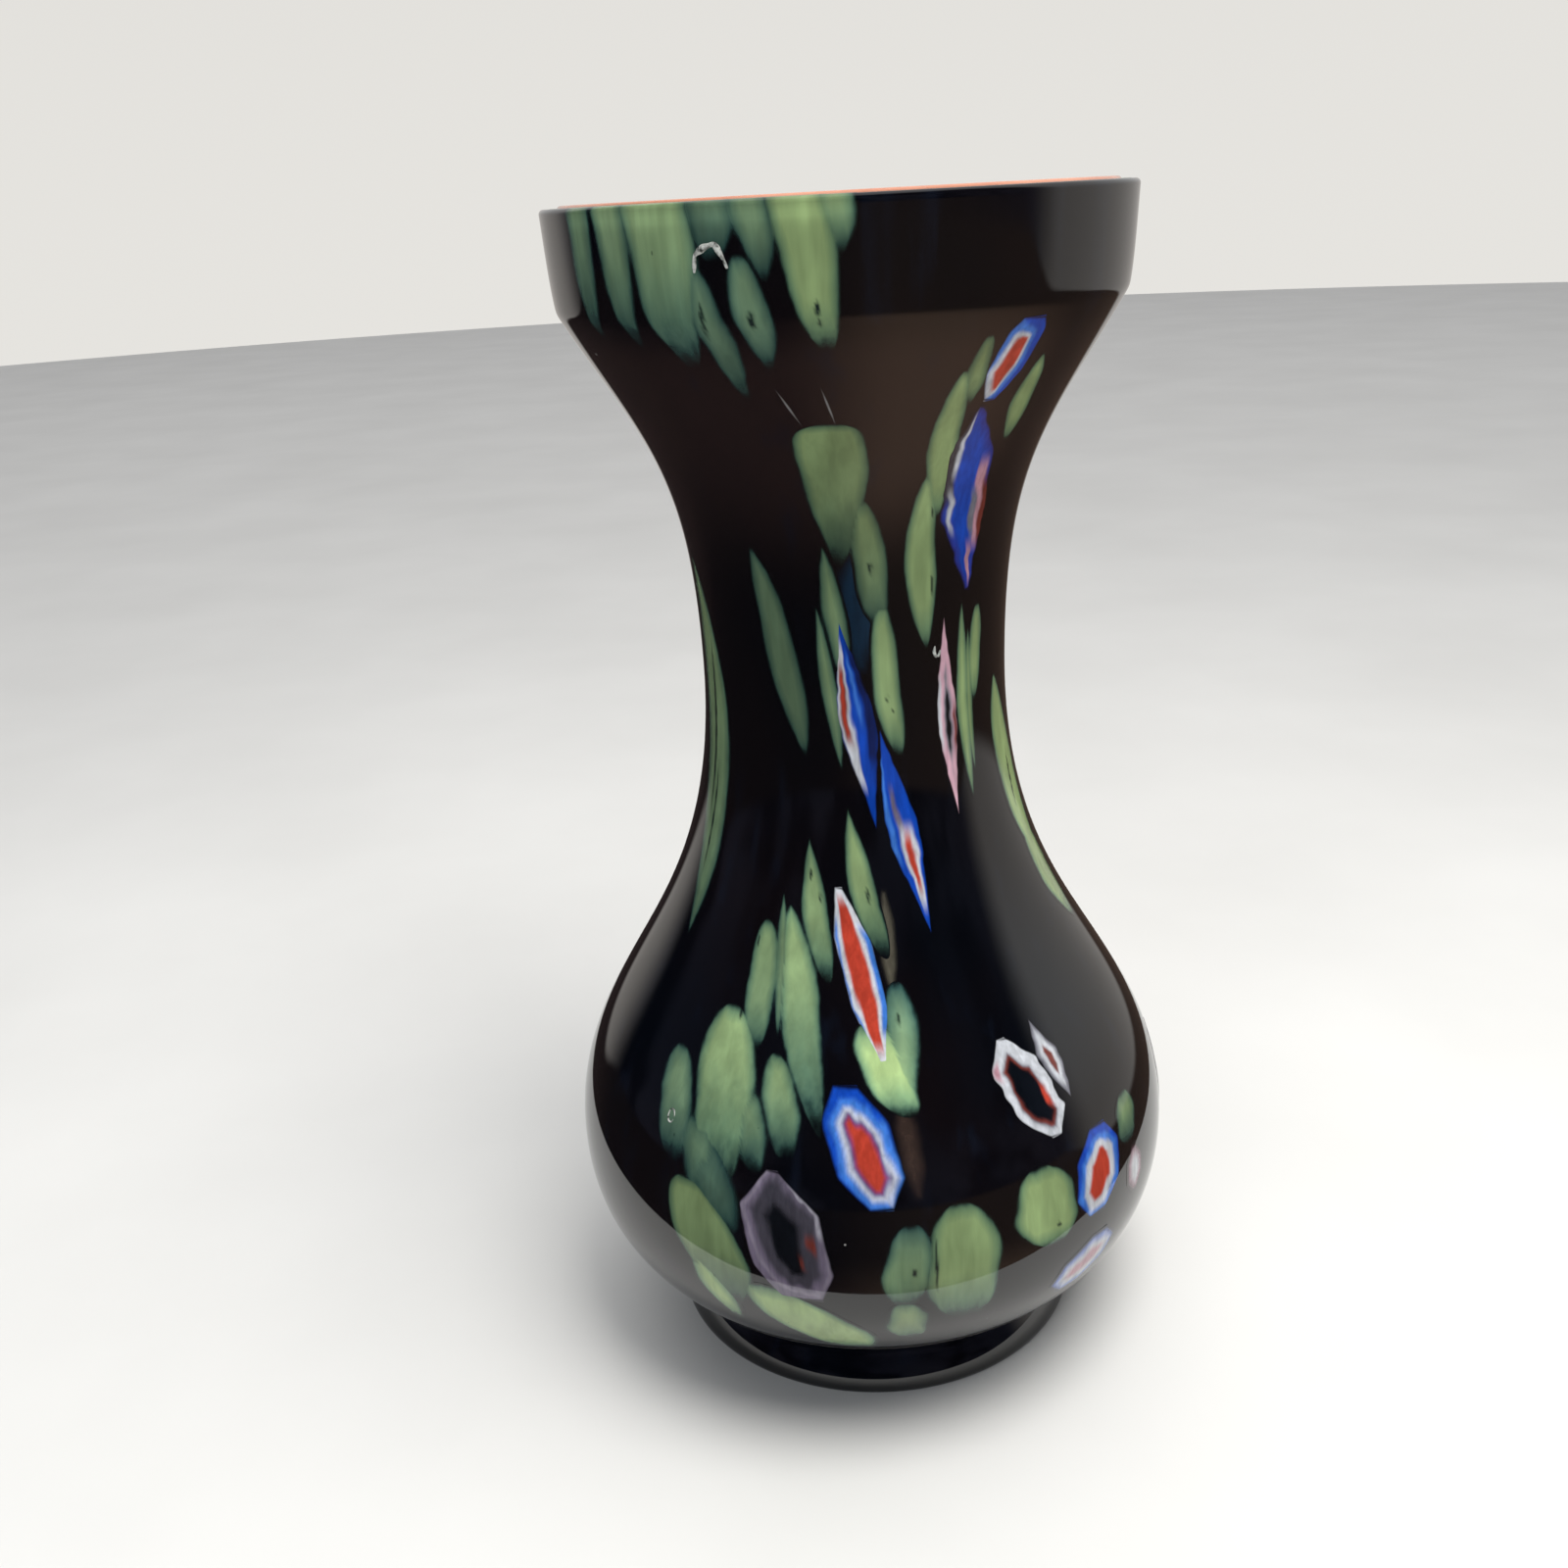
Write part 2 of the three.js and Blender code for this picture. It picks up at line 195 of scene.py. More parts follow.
class Nodes:
    """A thin wrapper that keeps node building on one line each."""

    def __init__(self, name):
        self.material = bpy.data.materials.new(name)
        self.material.use_nodes = True
        self.tree = self.material.node_tree
        self.tree.nodes.clear()
        self.output = self.tree.nodes.new("ShaderNodeOutputMaterial")

    def add(self, kind, inputs=None, **settings):
        node = self.tree.nodes.new(kind)
        for key, value in settings.items():
            setattr(node, key, value)
        for key, value in (inputs or {}).items():
            if isinstance(value, bpy.types.NodeSocket):
                self.tree.links.new(value, node.inputs[key])
            else:
                node.inputs[key].default_value = value
        return node

    def math(self, operation, a, b=0.0, c=0.0, clamp=False):
        node = self.add("ShaderNodeMath", {0: a, 1: b, 2: c}, operation=operation, use_clamp=clamp)
        return node.outputs[0]

    def attribute(self, name):
        return self.add("ShaderNodeAttribute", attribute_name=name).outputs["Fac"]

    def point(self):
        """Position in millimetres on the vase."""
        place = self.add("ShaderNodeTexCoord").outputs["Object"]
        return self.add("ShaderNodeVectorMath", {0: place, 1: (1000.0, 1000.0, 1000.0)}, operation="MULTIPLY").outputs[0]

    def noise(self, vector, scale, detail=3.0, roughness=0.5, stretch=(1.0, 1.0, 1.0), distortion=0.0):
        moved = self.add("ShaderNodeVectorMath", {0: vector, 1: stretch}, operation="MULTIPLY").outputs[0]
        inputs = {"Vector": moved, "Scale": scale, "Detail": detail, "Roughness": roughness, "Distortion": distortion}
        return self.add("ShaderNodeTexNoise", inputs).outputs["Fac"]

    def ramp(self, value, stops, interpolation="LINEAR"):
        node = self.add("ShaderNodeValToRGB", {"Fac": value})
        node.color_ramp.interpolation = interpolation
        points = node.color_ramp.elements
        while len(points) < len(stops):
            points.new(0.5)
        for point, (place, color) in zip(points, stops):
            point.position = place
            point.color = (*color, 1.0)
        return node.outputs["Color"]

    def span(self, value, a, b, to_a=0.0, to_b=1.0, smooth=True):
        kind = "SMOOTHSTEP" if smooth else "LINEAR"
        inputs = {"Value": value, "From Min": a, "From Max": b, "To Min": to_a, "To Max": to_b}
        return self.add("ShaderNodeMapRange", inputs, interpolation_type=kind).outputs["Result"]

    def mix(self, factor, a, b, blend="MIX"):
        node = self.add("ShaderNodeMix", data_type="RGBA", blend_type=blend)
        for key, value in ((0, factor), (6, a), (7, b)):
            if isinstance(value, bpy.types.NodeSocket):
                self.tree.links.new(value, node.inputs[key])
            else:
                node.inputs[key].default_value = value if key == 0 else (*value, 1.0)
        return node.outputs[2]

    def glass(self, color, roughness, height, distance=0.02):
        """The glossy opaque glass surface that every piece shares."""
        bump = self.add("ShaderNodeBump", {"Height": height, "Strength": 0.35, "Distance": distance * MM})
        shader = self.add("ShaderNodeBsdfPrincipled", {
            "Base Color": color, "Roughness": roughness, "Normal": bump.outputs["Normal"],
            "IOR": 1.56, "Specular IOR Level": 0.66,
        })
        self.tree.links.new(shader.outputs[0], self.output.inputs["Surface"])
        return self.material


def surface_waves(n, point):
    """Slow waves of the hand-worked surface, the same on the casing and on every inlay."""
    slow = n.noise(point, 0.055, detail=1.0, stretch=(1.0, 1.0, 0.35))
    drawn = n.noise(point, 0.16, detail=2.0, stretch=(1.0, 1.0, 0.12))
    cord = n.noise(point, 0.55, detail=1.0, stretch=(1.0, 1.0, 0.05))
    waves = n.math("MULTIPLY_ADD", drawn, 0.45, slow)
    return n.math("MULTIPLY_ADD", n.math("POWER", cord, 3.0), 0.30, waves)


def body_color(n, point):
    """Near black with a breath of maroon and, in drawn streaks, of blue, plus a painted reflection of a brown wooden
    table on the funnel.
    """
    clouds = n.noise(point, 0.035, detail=2.0, stretch=(1.0, 1.0, 0.6))
    base = n.ramp(clouds, [(0.35, (0.0012, 0.0016, 0.0026)), (0.65, (0.0036, 0.0024, 0.0028))])
    up = n.add("ShaderNodeSeparateXYZ", {"Vector": point}).outputs["Z"]
    # painted reflection: between 132 and 175 mm the black turns brown, as if it mirrored a wooden table in front
    painted_funnel_table_reflection = n.math("MULTIPLY", n.span(up, 132.0, 158.0), n.span(up, 175.0, 169.0))
    base = n.mix(n.math("MULTIPLY", painted_funnel_table_reflection, n.span(clouds, 0.2, 0.7, 0.55, 1.0)), base, (0.0125, 0.0075, 0.0070))
    streak = n.noise(point, 0.22, detail=3.0, stretch=(1.0, 1.0, 0.1))
    return n.mix(n.span(streak, 0.56, 0.78, 0.0, 0.6), base, (0.004, 0.006, 0.012))


def gloss(n, point, low=0.025, high=0.06):
    smear = n.noise(point, 0.12, detail=4.0, roughness=0.6)
    return n.span(smear, 0.35, 0.75, low, high)


def black_glass():
    n = Nodes("black_glass")
    point = n.point()
    color = body_color(n, point)
    # tiny pale specks: painted glints, as off small seed bubbles in the glass
    speck_glints = n.add("ShaderNodeTexVoronoi", {"Vector": point, "Scale": 0.16}, feature="F1")
    chosen = n.math("GREATER_THAN", speck_glints.outputs["Color"], 0.72)
    glint_dot = n.math("LESS_THAN", speck_glints.outputs["Distance"], 0.028)
    color = n.mix(n.math("MULTIPLY", n.math("MULTIPLY", glint_dot, chosen), 0.5), color, (0.5, 0.5, 0.48))
    return n.glass(color, gloss(n, point), surface_waves(n, point))


def orange_glass():
    n = Nodes("orange_glass")
    point = n.point()
    clouds = n.noise(point, 0.12, detail=3.0, stretch=(1.0, 1.0, 0.3))
    color = n.ramp(clouds, [(0.3, (0.46, 0.19, 0.12)), (0.7, (0.56, 0.26, 0.17))])
    return n.glass(color, gloss(n, point, 0.05, 0.12), surface_waves(n, point))


def green_opal():
    """Opal glass, teal where it thins out and yellow-green where it is thick."""
    n = Nodes("green_opal")
    point = n.point()
    part = n.attribute("part")
    tone = n.attribute("tone")
    lum = n.attribute("lum")
    dark = n.attribute("dark")
    ragged = n.noise(point, 0.7, detail=3.0, stretch=(1.0, 1.0, 0.3))
    part = n.math("MULTIPLY_ADD", n.math("SUBTRACT", ragged, 0.5), 0.5, part)
    cover = n.span(part, -0.05, 0.55)
    thick = n.math("MULTIPLY", part, 0.6)
    teal = n.ramp(thick, [(0.0, (0.004, 0.012, 0.014)), (0.2, (0.022, 0.062, 0.058)), (0.5, (0.062, 0.125, 0.096)),
                          (1.0, (0.105, 0.190, 0.132))])
    green = n.ramp(thick, [(0.0, (0.006, 0.016, 0.010)), (0.18, (0.042, 0.088, 0.060)), (0.45, (0.130, 0.215, 0.112)),
                           (1.0, (0.250, 0.345, 0.150))])
    color = n.mix(tone, teal, green)
    streak = n.noise(point, 0.6, detail=4.0, roughness=0.55, stretch=(1.0, 1.0, 0.08), distortion=0.4)
    cloud = n.noise(point, 0.2, detail=2.0, stretch=(1.0, 1.0, 0.45))
    level_ = n.math("MULTIPLY", n.span(streak, 0.3, 0.72, 0.90, 1.08), n.span(cloud, 0.3, 0.7, 0.84, 1.14))
    level_ = n.math("MULTIPLY", level_, lum)
    lit = n.add("ShaderNodeVectorMath", {0: color, "Scale": level_}, operation="SCALE").outputs[0]
    drawn = n.add("ShaderNodeVectorMath", {0: point, 1: (1.0, 1.0, 0.55)}, operation="MULTIPLY").outputs[0]
    grain = n.add("ShaderNodeTexVoronoi", {"Vector": drawn, "Scale": 0.36})
    pit = n.math("LESS_THAN", grain.outputs["Distance"], 0.06)
    pit = n.math("MULTIPLY", pit, n.math("GREATER_THAN", grain.outputs["Color"], 0.66))
    hole = n.math("MAXIMUM", n.math("MULTIPLY", pit, 0.5), dark)
    color = n.mix(hole, lit, (0.010, 0.020, 0.017))
    color = n.mix(cover, body_color(n, point), color)
    return n.glass(color, gloss(n, point), surface_waves(n, point))


def cane_glass(name):
    """Patterned cane: its rods of colour come from the mesh, drawn out into fine threads here."""
    n = Nodes(name)
    point = n.point()
    paint = n.add("ShaderNodeAttribute", attribute_name="paint").outputs["Color"]
    cover = n.attribute("cover")
    thread = n.noise(point, 1.1, detail=4.0, roughness=0.62, stretch=(1.0, 1.0, 0.10), distortion=0.3)
    milk = n.noise(point, 0.5, detail=2.0, stretch=(1.0, 1.0, 0.4))
    level_ = n.math("MULTIPLY", n.span(thread, 0.3, 0.72, 0.80, 1.14), n.span(milk, 0.3, 0.7, 0.9, 1.08))
    lit = n.add("ShaderNodeVectorMath", {0: paint, "Scale": level_}, operation="SCALE").outputs[0]
    color = n.mix(cover, body_color(n, point), lit)
    return n.glass(color, gloss(n, point), surface_waves(n, point))


BLACK = black_glass()
ORANGE = orange_glass()
GREEN = green_opal()

# ------------------------------------------------------------------------------------------------
# Casing, lining and foot
# ------------------------------------------------------------------------------------------------

outer = np.vstack([wall[:first:2], wall[first:]])
outer = np.vstack([[[0.0, 7.0]], [[20.0, 7.0]], [[31.8, 7.0]], outer])
back = inset(CASING, 14.0, 186.0, 6)[::-1]
casing_loop = np.vstack([
    outer,
    [[LIP[0] - CASING - 0.1, wall[-1, 1] - 0.15]],
    back,
    [[back[-1, 0] - 2.5, 11.4], [back[-1, 0] - 9.0, 10.6], [15.0, 10.5], [0.0, 10.5]],
])
casing = turned("casing_glass", casing_loop, BLACK)
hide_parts("outer_casing")
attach(casing, "root")

away = inset(CASING + 0.05, 14.0, 186.0, 6)
close = inset(CASING + LINING, 16.0, 186.0, 6)[::-1]
rim = np.linspace(0.0, math.pi, 15)
crest = HEIGHT_MM - 0.95
mid = (away[-1, 0] + close[0, 0]) / 2 + 0.12
reach = (away[-1, 0] - close[0, 0]) / 2 + 0.02
lining_loop = np.vstack([
    [[0.0, 10.6], [15.0, 10.6], [away[0, 0] - 8.6, 10.8], [away[0, 0] - 2.4, 11.8]],
    away,
    np.c_[mid + reach * np.cos(rim), crest + 0.93 * np.sin(rim)],
    close,
    [[close[-1, 0] - 3.0, 13.6], [close[-1, 0] - 9.5, 12.4], [15.0, 12.0], [0.0, 12.0]],
])
lining = turned("lining_glass", lining_loop, ORANGE)
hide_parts("inner_lining")
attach(lining, "root")

FOOT = np.array([
    [0.0, 1.6], [10.0, 1.6], [16.5, 1.5], [19.5, 1.1], [21.6, 0.35], [22.6, 0.0], [28.0, 0.0], [34.6, 0.0],
    [35.4, 0.15], [35.9, 0.55], [36.05, 1.2], [35.95, 2.0], [35.5, 3.4], [34.9, 4.7], [34.3, 5.8],
    [33.75, 6.7], [33.55, 7.35], [33.3, 7.5], [28.0, 7.2], [12.0, 7.05], [0.0, 7.05],
])
foot = turned("foot_glass", FOOT, BLACK)
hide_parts("foot")
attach(foot, "root")

# ------------------------------------------------------------------------------------------------
# Green opal chips
# ------------------------------------------------------------------------------------------------

# how an end fills out: fullness and taper
ROUND, BLUNT, LEAF, POINT, CUT = (2.0, 0.5), (4.5, 0.6), (2.0, 0.8), (1.6, 1.05), (9.0, 1.0)


class Chip:
    """A drawn-out chip: two ends [degrees, height], its width, and how it looks at either end."""

    def __init__(self, name, top, bottom, width, ends=(ROUND, LEAF), bend=0.0, tone=(0.6, 0.6), lum=(1.0, 1.0),
                 soft=1.0, melt=(1.5, 3.0), node=None, holes=(), widest=0.0):
        self.name, self.top, self.bottom, self.width, self.bend = name, top, bottom, width, bend
        self.ends, self.tone, self.lum, self.soft, self.melt = ends, tone, lum, soft, melt
        self.node, self.holes, self.widest = node, holes, widest
        self.seed = (sum(map(ord, name)) % 97) * 0.37
        self.length = top[1] - bottom[1]

    def height(self, s):
        return self.bottom[1] + self.length * (s + 1) / 2

    def degrees(self, s):
        line = self.bottom[0] + (self.top[0] - self.bottom[0]) * (s + 1) / 2
        return line + np.degrees(self.bend * (1 - s * s) / radius_at(self.height(s)))

    def half(self, s, side):
        """Half width in millimetres, with an uneven hand-broken edge."""
        s = s - self.widest
        over = s > 0
        reach = np.abs(s) / np.where(over, 1 - self.widest, 1 + self.widest)
        full = np.where(over, self.ends[0][0], self.ends[1][0])
        taper = np.where(over, self.ends[0][1], self.ends[1][1])
        body = np.maximum(1 - reach ** full, 0.0) ** taper
        wobble = 1 + 0.06 * np.sin(2.7 * s + self.seed + side) + 0.035 * np.sin(6.3 * s + 1.7 * self.seed - 2 * side)
        return (self.width / 2 + 0.35 * self.soft) * body * wobble

    def part(self, degrees, height):
        """0 at the edge, 1 where the chip is thick; below 0 outside."""
        s = (height - self.bottom[1]) / self.length * 2 - 1
        across = np.radians((degrees - self.degrees(s) + 180) % 360 - 180) * radius_at(height)
        side = np.where(across > 0, 1.0, -1.0)
        inside = (self.half(s, side) - np.abs(across)) / self.soft
        upper = (1 - s) * self.length / 2 / self.melt[0]
        lower = (1 + s) * self.length / 2 / self.melt[1]
        return np.where(np.abs(s) < 1.2, np.minimum(inside, np.minimum(upper, lower)), -3.0), (s + 1) / 2


CHIPS = [
    # collar, from the left edge round to the front
    Chip("chip_collar_01", (-53.2, 197), (-51.6, 172.5), 5.5, (CUT, LEAF), tone=(0.55, 0.0), lum=(1.0, 0.6), soft=1.5,
         melt=(1, 7), node="chip_collar_01"),
    Chip("chip_collar_02", (-44.6, 197), (-41, 171.5), 5.9, (CUT, LEAF), tone=(0.85, 0.0), lum=(1.1, 0.65), soft=1.4,
         melt=(1, 7), node="chip_collar_02"),
    Chip("chip_collar_03", (-33.6, 198), (-30, 168.5), 10.2, (CUT, LEAF), tone=(1.0, 0.05), lum=(1.2, 0.75), soft=1.5,
         melt=(1, 9), node="chip_collar_03"),
    Chip("chip_collar_04", (-9.2, 200), (-2.6, 171), 7.2, (CUT, ROUND), tone=(1.0, 0.9), lum=(0.95, 0.85), soft=1.1,
         melt=(1, 4), node="chip_collar_04", holes=((-3.9, 176.4, 0.4, 1.0), (-3.6, 174.6, 0.25, 0.5))),
    Chip("chip_collar_05", (-25.6, 182.5), (-20.6, 164.5), 4.2, (ROUND, LEAF), tone=(0.2, 0.1), lum=(0.9, 0.6), soft=1.3,
         melt=(2, 5), node="chip_collar_05", holes=((-24.6, 175.5, 0.35, 2.4),)),
    Chip("chip_collar_06", (-17.0, 183.5), (-13.8, 168.5), 4.6, (ROUND, LEAF), tone=(0.35, 0.1), lum=(1.0, 0.7), soft=1.2,
         melt=(2, 4), node="chip_collar_06", holes=((-15.4, 175.3, 0.5, 1.2),)),
    Chip("chip_collar_07", (-22.0, 197), (-21.4, 182.4), 6.2, (CUT, ROUND), tone=(0.45, 0.0), lum=(1.0, 0.6), soft=1.7, melt=(1, 4)),
    Chip("chip_collar_08", (-16.4, 198), (-12.4, 179.5), 4.9, (CUT, LEAF), tone=(0.7, 0.1), lum=(1.05, 0.7), soft=1.3, melt=(1, 4)),
    Chip("chip_collar_09", (-1.0, 197), (0.4, 182.5), 4.4, (CUT, LEAF), tone=(1.0, 0.5), lum=(1.4, 0.8), soft=1.5, melt=(1, 4)),

    # funnel and neck
    Chip("chip_neck_01", (-3.6, 161.2), (-3.2, 139.5), 9.4, ((7.0, 0.7), (1.5, 0.75)), tone=(0.95, 0.6), lum=(0.66, 0.5), soft=1.0,
         melt=(0.8, 7), node="chip_neck_01", widest=0.55),
    Chip("chip_neck_09", (3.4, 150), (9.0, 130.5), 4.8, (ROUND, ROUND), tone=(0.95, 0.3), lum=(0.72, 0.6), soft=1.0,
         melt=(2, 4), node="chip_neck_09", holes=((6.2, 139.6, 0.3, 1.0),)),
    Chip("chip_neck_10", (-8.6, 143.4), (-2.8, 121), 3.0, (LEAF, LEAF), tone=(0.7, 0.4), lum=(0.8, 0.7), soft=1.0),
    Chip("chip_neck_11", (-12.0, 134), (-5.4, 108.5), 2.2, (LEAF, LEAF), tone=(0.6, 0.5), lum=(0.8, 0.8), soft=0.8),
    Chip("chip_neck_02", (22.6, 152.7), (26.2, 126.2), 4.8, (ROUND, LEAF), bend=-0.5, tone=(0.95, 0.9), lum=(1.0, 0.85), soft=0.8,
         melt=(1.2, 4), node="chip_neck_02", holes=((25.4, 147.0, 0.2, 0.7), (27.6, 136.0, 0.2, 1.6))),
    Chip("chip_neck_03", (25.4, 167.3), (27.4, 146), 4.5, (ROUND, LEAF), bend=-0.6, tone=(1.0, 1.0), lum=(0.9, 0.9), soft=0.8,
         melt=(1, 3), node="chip_neck_03"),
    Chip("chip_neck_12", (28.4, 171.8), (28.4, 162.0), 3.0, (ROUND, LEAF), tone=(0.95, 0.9), lum=(0.75, 0.7), soft=0.9, melt=(1.2, 2.5)),
    Chip("chip_neck_04", (45.2, 168.4), (45.8, 156), 4.2, (LEAF, LEAF), tone=(1.0, 1.0), lum=(0.95, 0.95), soft=0.8,
         melt=(1.2, 2), node="chip_neck_04"),
    Chip("chip_neck_05", (-33.0, 142.8), (-18.0, 110.4), 4.9, ((2.2, 0.7), LEAF), tone=(0.3, 0.3), lum=(0.6, 0.6), soft=1.0,
         melt=(2.5, 4), node="chip_neck_05"),
    Chip("chip_neck_06", (9.8, 134.3), (15.0, 110.2), 4.1, (ROUND, ROUND), bend=-0.5, tone=(0.9, 0.8), lum=(0.95, 1.05), soft=0.9,
         melt=(2, 4), node="chip_neck_06", holes=((11.4, 119.4, 0.2, 0.7), (13.4, 117.6, 0.15, 0.5))),
    Chip("chip_neck_13", (40.8, 132.6), (43.6, 101), 2.4, (LEAF, LEAF), tone=(1.0, 0.9), lum=(1.0, 0.95), soft=0.7),
    Chip("chip_neck_14", (49.0, 131.6), (48.2, 116.2), 2.9, (ROUND, LEAF), tone=(1.0, 0.9), lum=(1.0, 0.95), soft=0.7),
    Chip("chip_neck_16", (44.4, 128.6), (46.2, 105), 1.5, (LEAF, LEAF), tone=(1.0, 0.9), lum=(0.85, 0.85), soft=0.6),
    Chip("chip_neck_07", (-71, 139.5), (-57.6, 78.8), 7.8, (LEAF, LEAF), bend=1.0, tone=(0.7, 0.3), lum=(0.95, 0.8), soft=1.2,
         node="chip_neck_07", holes=((-63.5, 112, 0.45, 15.0), (-60.5, 97, 0.3, 9.0))),
    Chip("chip_neck_08", (62, 119), (76, 84.5), 7.4, (LEAF, LEAF), tone=(1.0, 1.0), lum=(1.15, 1.15), soft=0.9, node="chip_neck_08",
         holes=((69.5, 100.6, 0.3, 5.0),)),
    Chip("chip_neck_15", (71, 94.6), (80, 74), 6.6, (LEAF, LEAF), tone=(1.0, 0.9), lum=(1.1, 1.0), soft=1.0),

    # bulb
    Chip("chip_bulb_01", (-16.8, 98.2), (-9.4, 77.4), 4.0, (POINT, ROUND), bend=-0.5, tone=(0.8, 0.6), lum=(1.0, 1.0), soft=0.8,
         melt=(0.8, 5), node="chip_bulb_01", holes=((-15.9, 92.6, 0.22, 1.0), (-12.6, 89.4, 0.18, 0.7))),
    Chip("chip_bulb_02", (-3.8, 103), (6.0, 80.6), 4.0, (POINT, ROUND), bend=-0.6, tone=(0.95, 0.7), lum=(1.1, 0.85), soft=0.8,
         melt=(0.8, 6), node="chip_bulb_02", holes=((1.8, 89.6, 0.28, 1.2),)),
    Chip("chip_bulb_03", (-28.4, 85.4), (-25.8, 67.6), 5.0, (ROUND, ROUND), tone=(0.7, 0.4), lum=(1.05, 0.85), soft=1.0,
         melt=(1.5, 4), node="chip_bulb_03", holes=((-31.0, 72.0, 0.3, 1.0), (-30.4, 82.0, 0.2, 0.9))),
    Chip("chip_bulb_14", (-24.4, 89.6), (-20.6, 69.6), 1.8, (LEAF, LEAF), tone=(0.6, 0.4), lum=(0.95, 0.8), soft=0.7, melt=(1, 4)),
    Chip("chip_bulb_04", (-21.8, 88), (-9.6, 57.5), 6.4, ((1.7, 0.7), LEAF), tone=(0.9, 0.35), lum=(1.3, 1.1), soft=1.2,
         melt=(1.2, 12), node="chip_bulb_04", widest=0.15),
    Chip("chip_bulb_21", (7.6, 77.6), (6.6, 60.5), 5.0, (ROUND, ROUND), bend=0.4, tone=(0.0, 0.9), lum=(1.2, 1.6), soft=1.8,
         melt=(2.5, 4), holes=((7.4, 72.6, 0.3, 0.8),)),
    Chip("chip_bulb_05", (0.6, 72.6), (7.8, 60.0), 7.6, (ROUND, ROUND), bend=-0.4, tone=(1.0, 1.0), lum=(1.75, 1.7), soft=1.3,
         melt=(2.5, 3.5), node="chip_bulb_05"),
    Chip("chip_bulb_06", (-44.4, 65.4), (-39.0, 49.4), 6.8, (ROUND, ROUND), tone=(0.45, 0.1), lum=(1.0, 0.8), soft=1.6,
         melt=(2, 6), node="chip_bulb_06"),
    Chip("chip_bulb_07", (-33.4, 72.8), (-28.4, 48.5), 10.6, (ROUND, ROUND), tone=(0.85, 0.5), lum=(1.2, 0.95), soft=1.4,
         melt=(1.5, 10), node="chip_bulb_07", widest=0.12),
    Chip("chip_bulb_15", (-35.6, 57.6), (-30.6, 45.0), 6.6, (ROUND, ROUND), tone=(0.35, 0.0), lum=(0.84, 0.64), soft=2.2, melt=(3, 5)),
    Chip("chip_bulb_16", (-25.4, 63.0), (-21.4, 51.6), 4.8, (ROUND, ROUND), tone=(0.6, 0.2), lum=(1.0, 0.8), soft=1.8, melt=(2.5, 5)),
    Chip("chip_bulb_08", (-20.2, 67.8), (-15.6, 54), 5.4, (ROUND, ROUND), tone=(0.8, 0.3), lum=(1.1, 0.9), soft=1.4,
         melt=(1.5, 6), node="chip_bulb_08"),
    Chip("chip_bulb_17", (-34.0, 56), (-26.0, 41.0), 7.4, (ROUND, ROUND), tone=(0.0, 0.0), lum=(0.7, 0.55), soft=2.8, melt=(4, 5)),
    Chip("chip_bulb_09", (-35.6, 48.2), (-26.0, 27.0), 12.6, (ROUND, LEAF), bend=0.4, tone=(0.9, 0.6), lum=(0.64, 0.62), soft=1.1,
         melt=(1.2, 6), node="chip_bulb_09"),
    Chip("chip_bulb_10", (30.8, 49.5), (33.0, 35.6), 11.6, (ROUND, ROUND), tone=(1.0, 0.9), lum=(1.0, 1.05), soft=1.4,
         melt=(1.6, 2), node="chip_bulb_10", holes=((34.0, 39.0, 0.4, 0.5),)),
    Chip("chip_bulb_11", (6.4, 45.4), (4.8, 30.6), 7.4, (ROUND, ROUND), tone=(0.0, 0.9), lum=(0.95, 0.95), soft=1.2,
         melt=(2.4, 5), node="chip_bulb_11", holes=((6.6, 37.0, 0.4, 0.7),)),
    Chip("chip_bulb_12", (14.9, 47.7), (16.0, 26.0), 12.0, (ROUND, ROUND), tone=(0.9, 0.8), lum=(0.88, 0.95), soft=1.5,
         melt=(1.8, 6), node="chip_bulb_12", holes=((10.4, 38.0, 0.25, 5.0),)),
    Chip("chip_bulb_13", (56.8, 52.4), (55.2, 44.4), 6.2, (ROUND, ROUND), tone=(0.9, 0.1), lum=(0.85, 0.8), soft=1.4),
    Chip("chip_bulb_18", (-20.4, 33.4), (-3.4, 18.6), 13.6, (ROUND, ROUND), tone=(1.0, 1.0), lum=(0.95, 1.05), soft=1.5,
         melt=(1.8, 2)),
    Chip("chip_bulb_19", (-33.6, 36.0), (-26.4, 22.6), 5.4, (LEAF, LEAF), tone=(1.0, 1.0), lum=(1.0, 1.05), soft=1.5),
    Chip("chip_bulb_20", (4.8, 31.4), (6.2, 22.0), 6.2, (ROUND, ROUND), tone=(0.9, 0.9), lum=(0.85, 0.85), soft=1.6),

    # far side
    Chip("chip_back_01", (96, 197), (98, 171), 8.6, (CUT, LEAF), tone=(1.0, 0.2), lum=(1.1, 0.8), soft=1.3, melt=(1, 6), node="chip_back_01"),
    Chip("chip_back_02", (152, 184.5), (155, 168), 5.8, (ROUND, LEAF), tone=(0.5, 0.2), lum=(1.0, 0.8), soft=1.2, node="chip_back_02"),
    Chip("chip_back_03", (213, 197), (216, 172.5), 8.4, (CUT, LEAF), tone=(0.9, 0.1), lum=(1.1, 0.8), soft=1.3, melt=(1, 6), node="chip_back_03"),
    Chip("chip_back_09", (205, 197), (206.5, 180), 5.0, (CUT, LEAF), tone=(0.9, 0.2), lum=(1.1, 0.8), soft=1.3, melt=(1, 4)),
    Chip("chip_back_04", (122, 158.6), (128, 135.4), 6.3, (ROUND, LEAF), tone=(0.9, 0.8), lum=(0.95, 0.9), node="chip_back_04"),
    Chip("chip_back_05", (186, 128.6), (192, 97.4), 5.2, (ROUND, LEAF), tone=(0.8, 0.6), lum=(1.0, 0.9), node="chip_back_05"),
    Chip("chip_back_06", (106, 78.5), (112, 59), 7.2, (ROUND, ROUND), tone=(0.8, 0.5), lum=(1.1, 1.0), soft=1.2, node="chip_back_06"),
    Chip("chip_back_07", (143, 62.8), (148, 42), 9.6, (ROUND, ROUND), tone=(0.9, 0.6), lum=(1.1, 1.0), soft=1.4, node="chip_back_07"),
